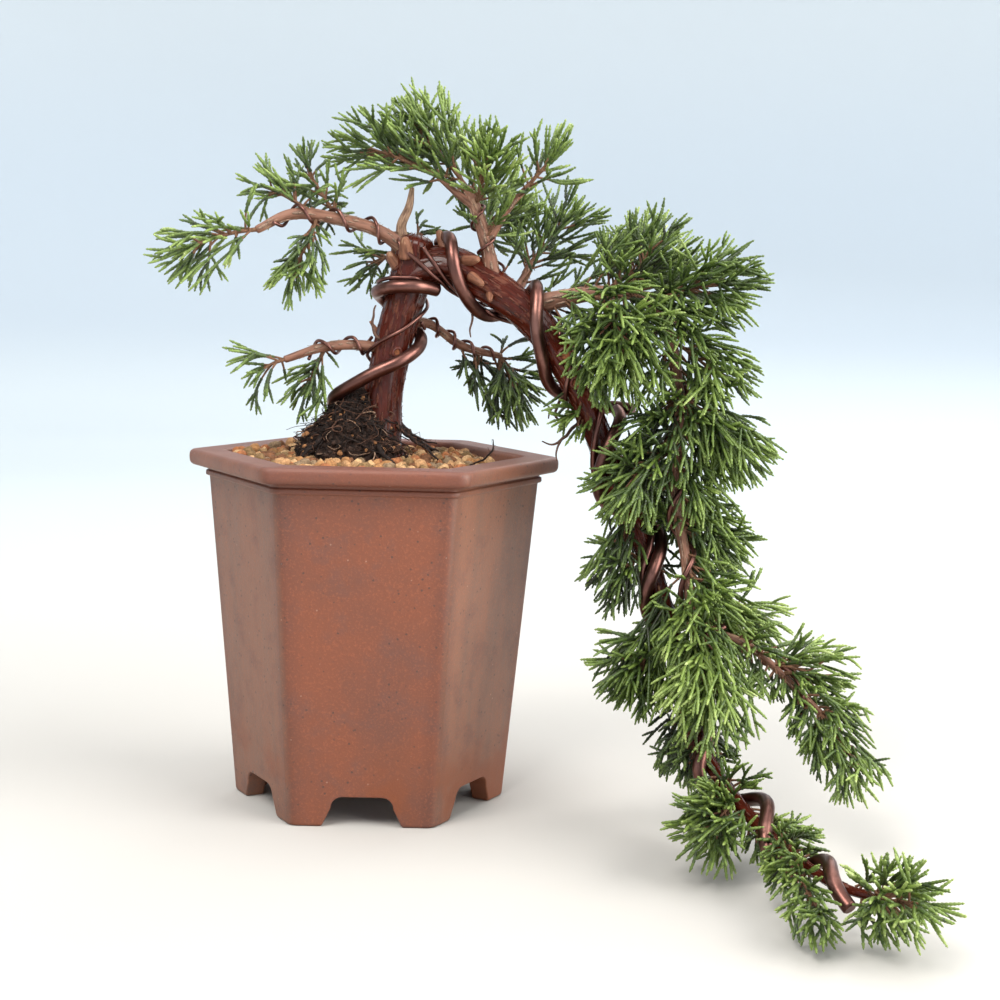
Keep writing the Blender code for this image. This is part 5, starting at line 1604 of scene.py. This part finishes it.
def add_light(name, place, size, power, colour):
    lamp = bpy.data.lights.new(name, "AREA")
    lamp.size = size
    lamp.energy = power
    lamp.color = colour
    holder = bpy.data.objects.new(name, lamp)
    holder.location = place
    holder.rotation_euler = (Vector(LIGHTS_AIM) - Vector(place)).to_track_quat("-Z", "Y").to_euler()
    bpy.context.scene.collection.objects.link(holder)


def build_lights():
    world = bpy.data.worlds.new("studio")
    world.use_nodes = True
    air = world.node_tree.nodes["Background"]
    air.inputs["Color"].default_value = (*paint(234, 240, 246), 1.0)
    air.inputs["Strength"].default_value = 0.45
    bpy.context.scene.world = world
    for name, row in LIGHTS.items():
        add_light(name, *row)
    bpy.context.scene.view_settings.view_transform = "Standard"


def build_camera():
    yaw, pitch, roll = map(math.radians, (CAMERA_YAW, CAMERA_PITCH, CAMERA_ROLL))
    forward = Vector((math.sin(yaw) * math.cos(pitch), math.cos(yaw) * math.cos(pitch),
                      math.sin(pitch)))
    level = Vector((math.cos(yaw), -math.sin(yaw), 0.0))
    right = math.cos(roll) * level + math.sin(roll) * level.cross(forward)
    turned = Matrix((right, right.cross(forward), -forward)).transposed()
    lens = bpy.data.cameras.new("camera")
    lens.lens = LENS
    lens.sensor_width = 36.0
    lens.clip_start = 0.05
    lens.clip_end = 20.0
    holder = bpy.data.objects.new("camera", lens)
    holder.matrix_world = (Matrix.Translation(Vector(POT_PLACE) + Vector(CAMERA_PLACE) * MM)
                           @ turned.to_4x4())
    bpy.context.scene.collection.objects.link(holder)
    bpy.context.scene.camera = holder


# ================================================================ the plant
def build_plant():
    """Limbs and wires come before foliage, as twigs keep clear of what limbs_room holds by then."""
    lines = {"trunk": Line(TRUNK), "cascade": Line(CASCADE), "side_line": Line(SIDE_LINE)}
    lines.update({name: Line(rows) for name, rows in BOUGHS.items()})
    for line in lines.values():
        limbs_room.add(line.points[::2], line.radii[::2] * 1.04)
    tubes = tube_tree()
    build_pot()
    build_soil()
    build_mound(tubes)
    build_limbs(lines)
    build_pegs(lines)
    build_scars(lines)
    build_dead_twigs(tubes)
    build_wires(lines, tubes)
    build_foliage(lines, tubes)


build_camera()
build_lights()
build_stage()
build_plant()
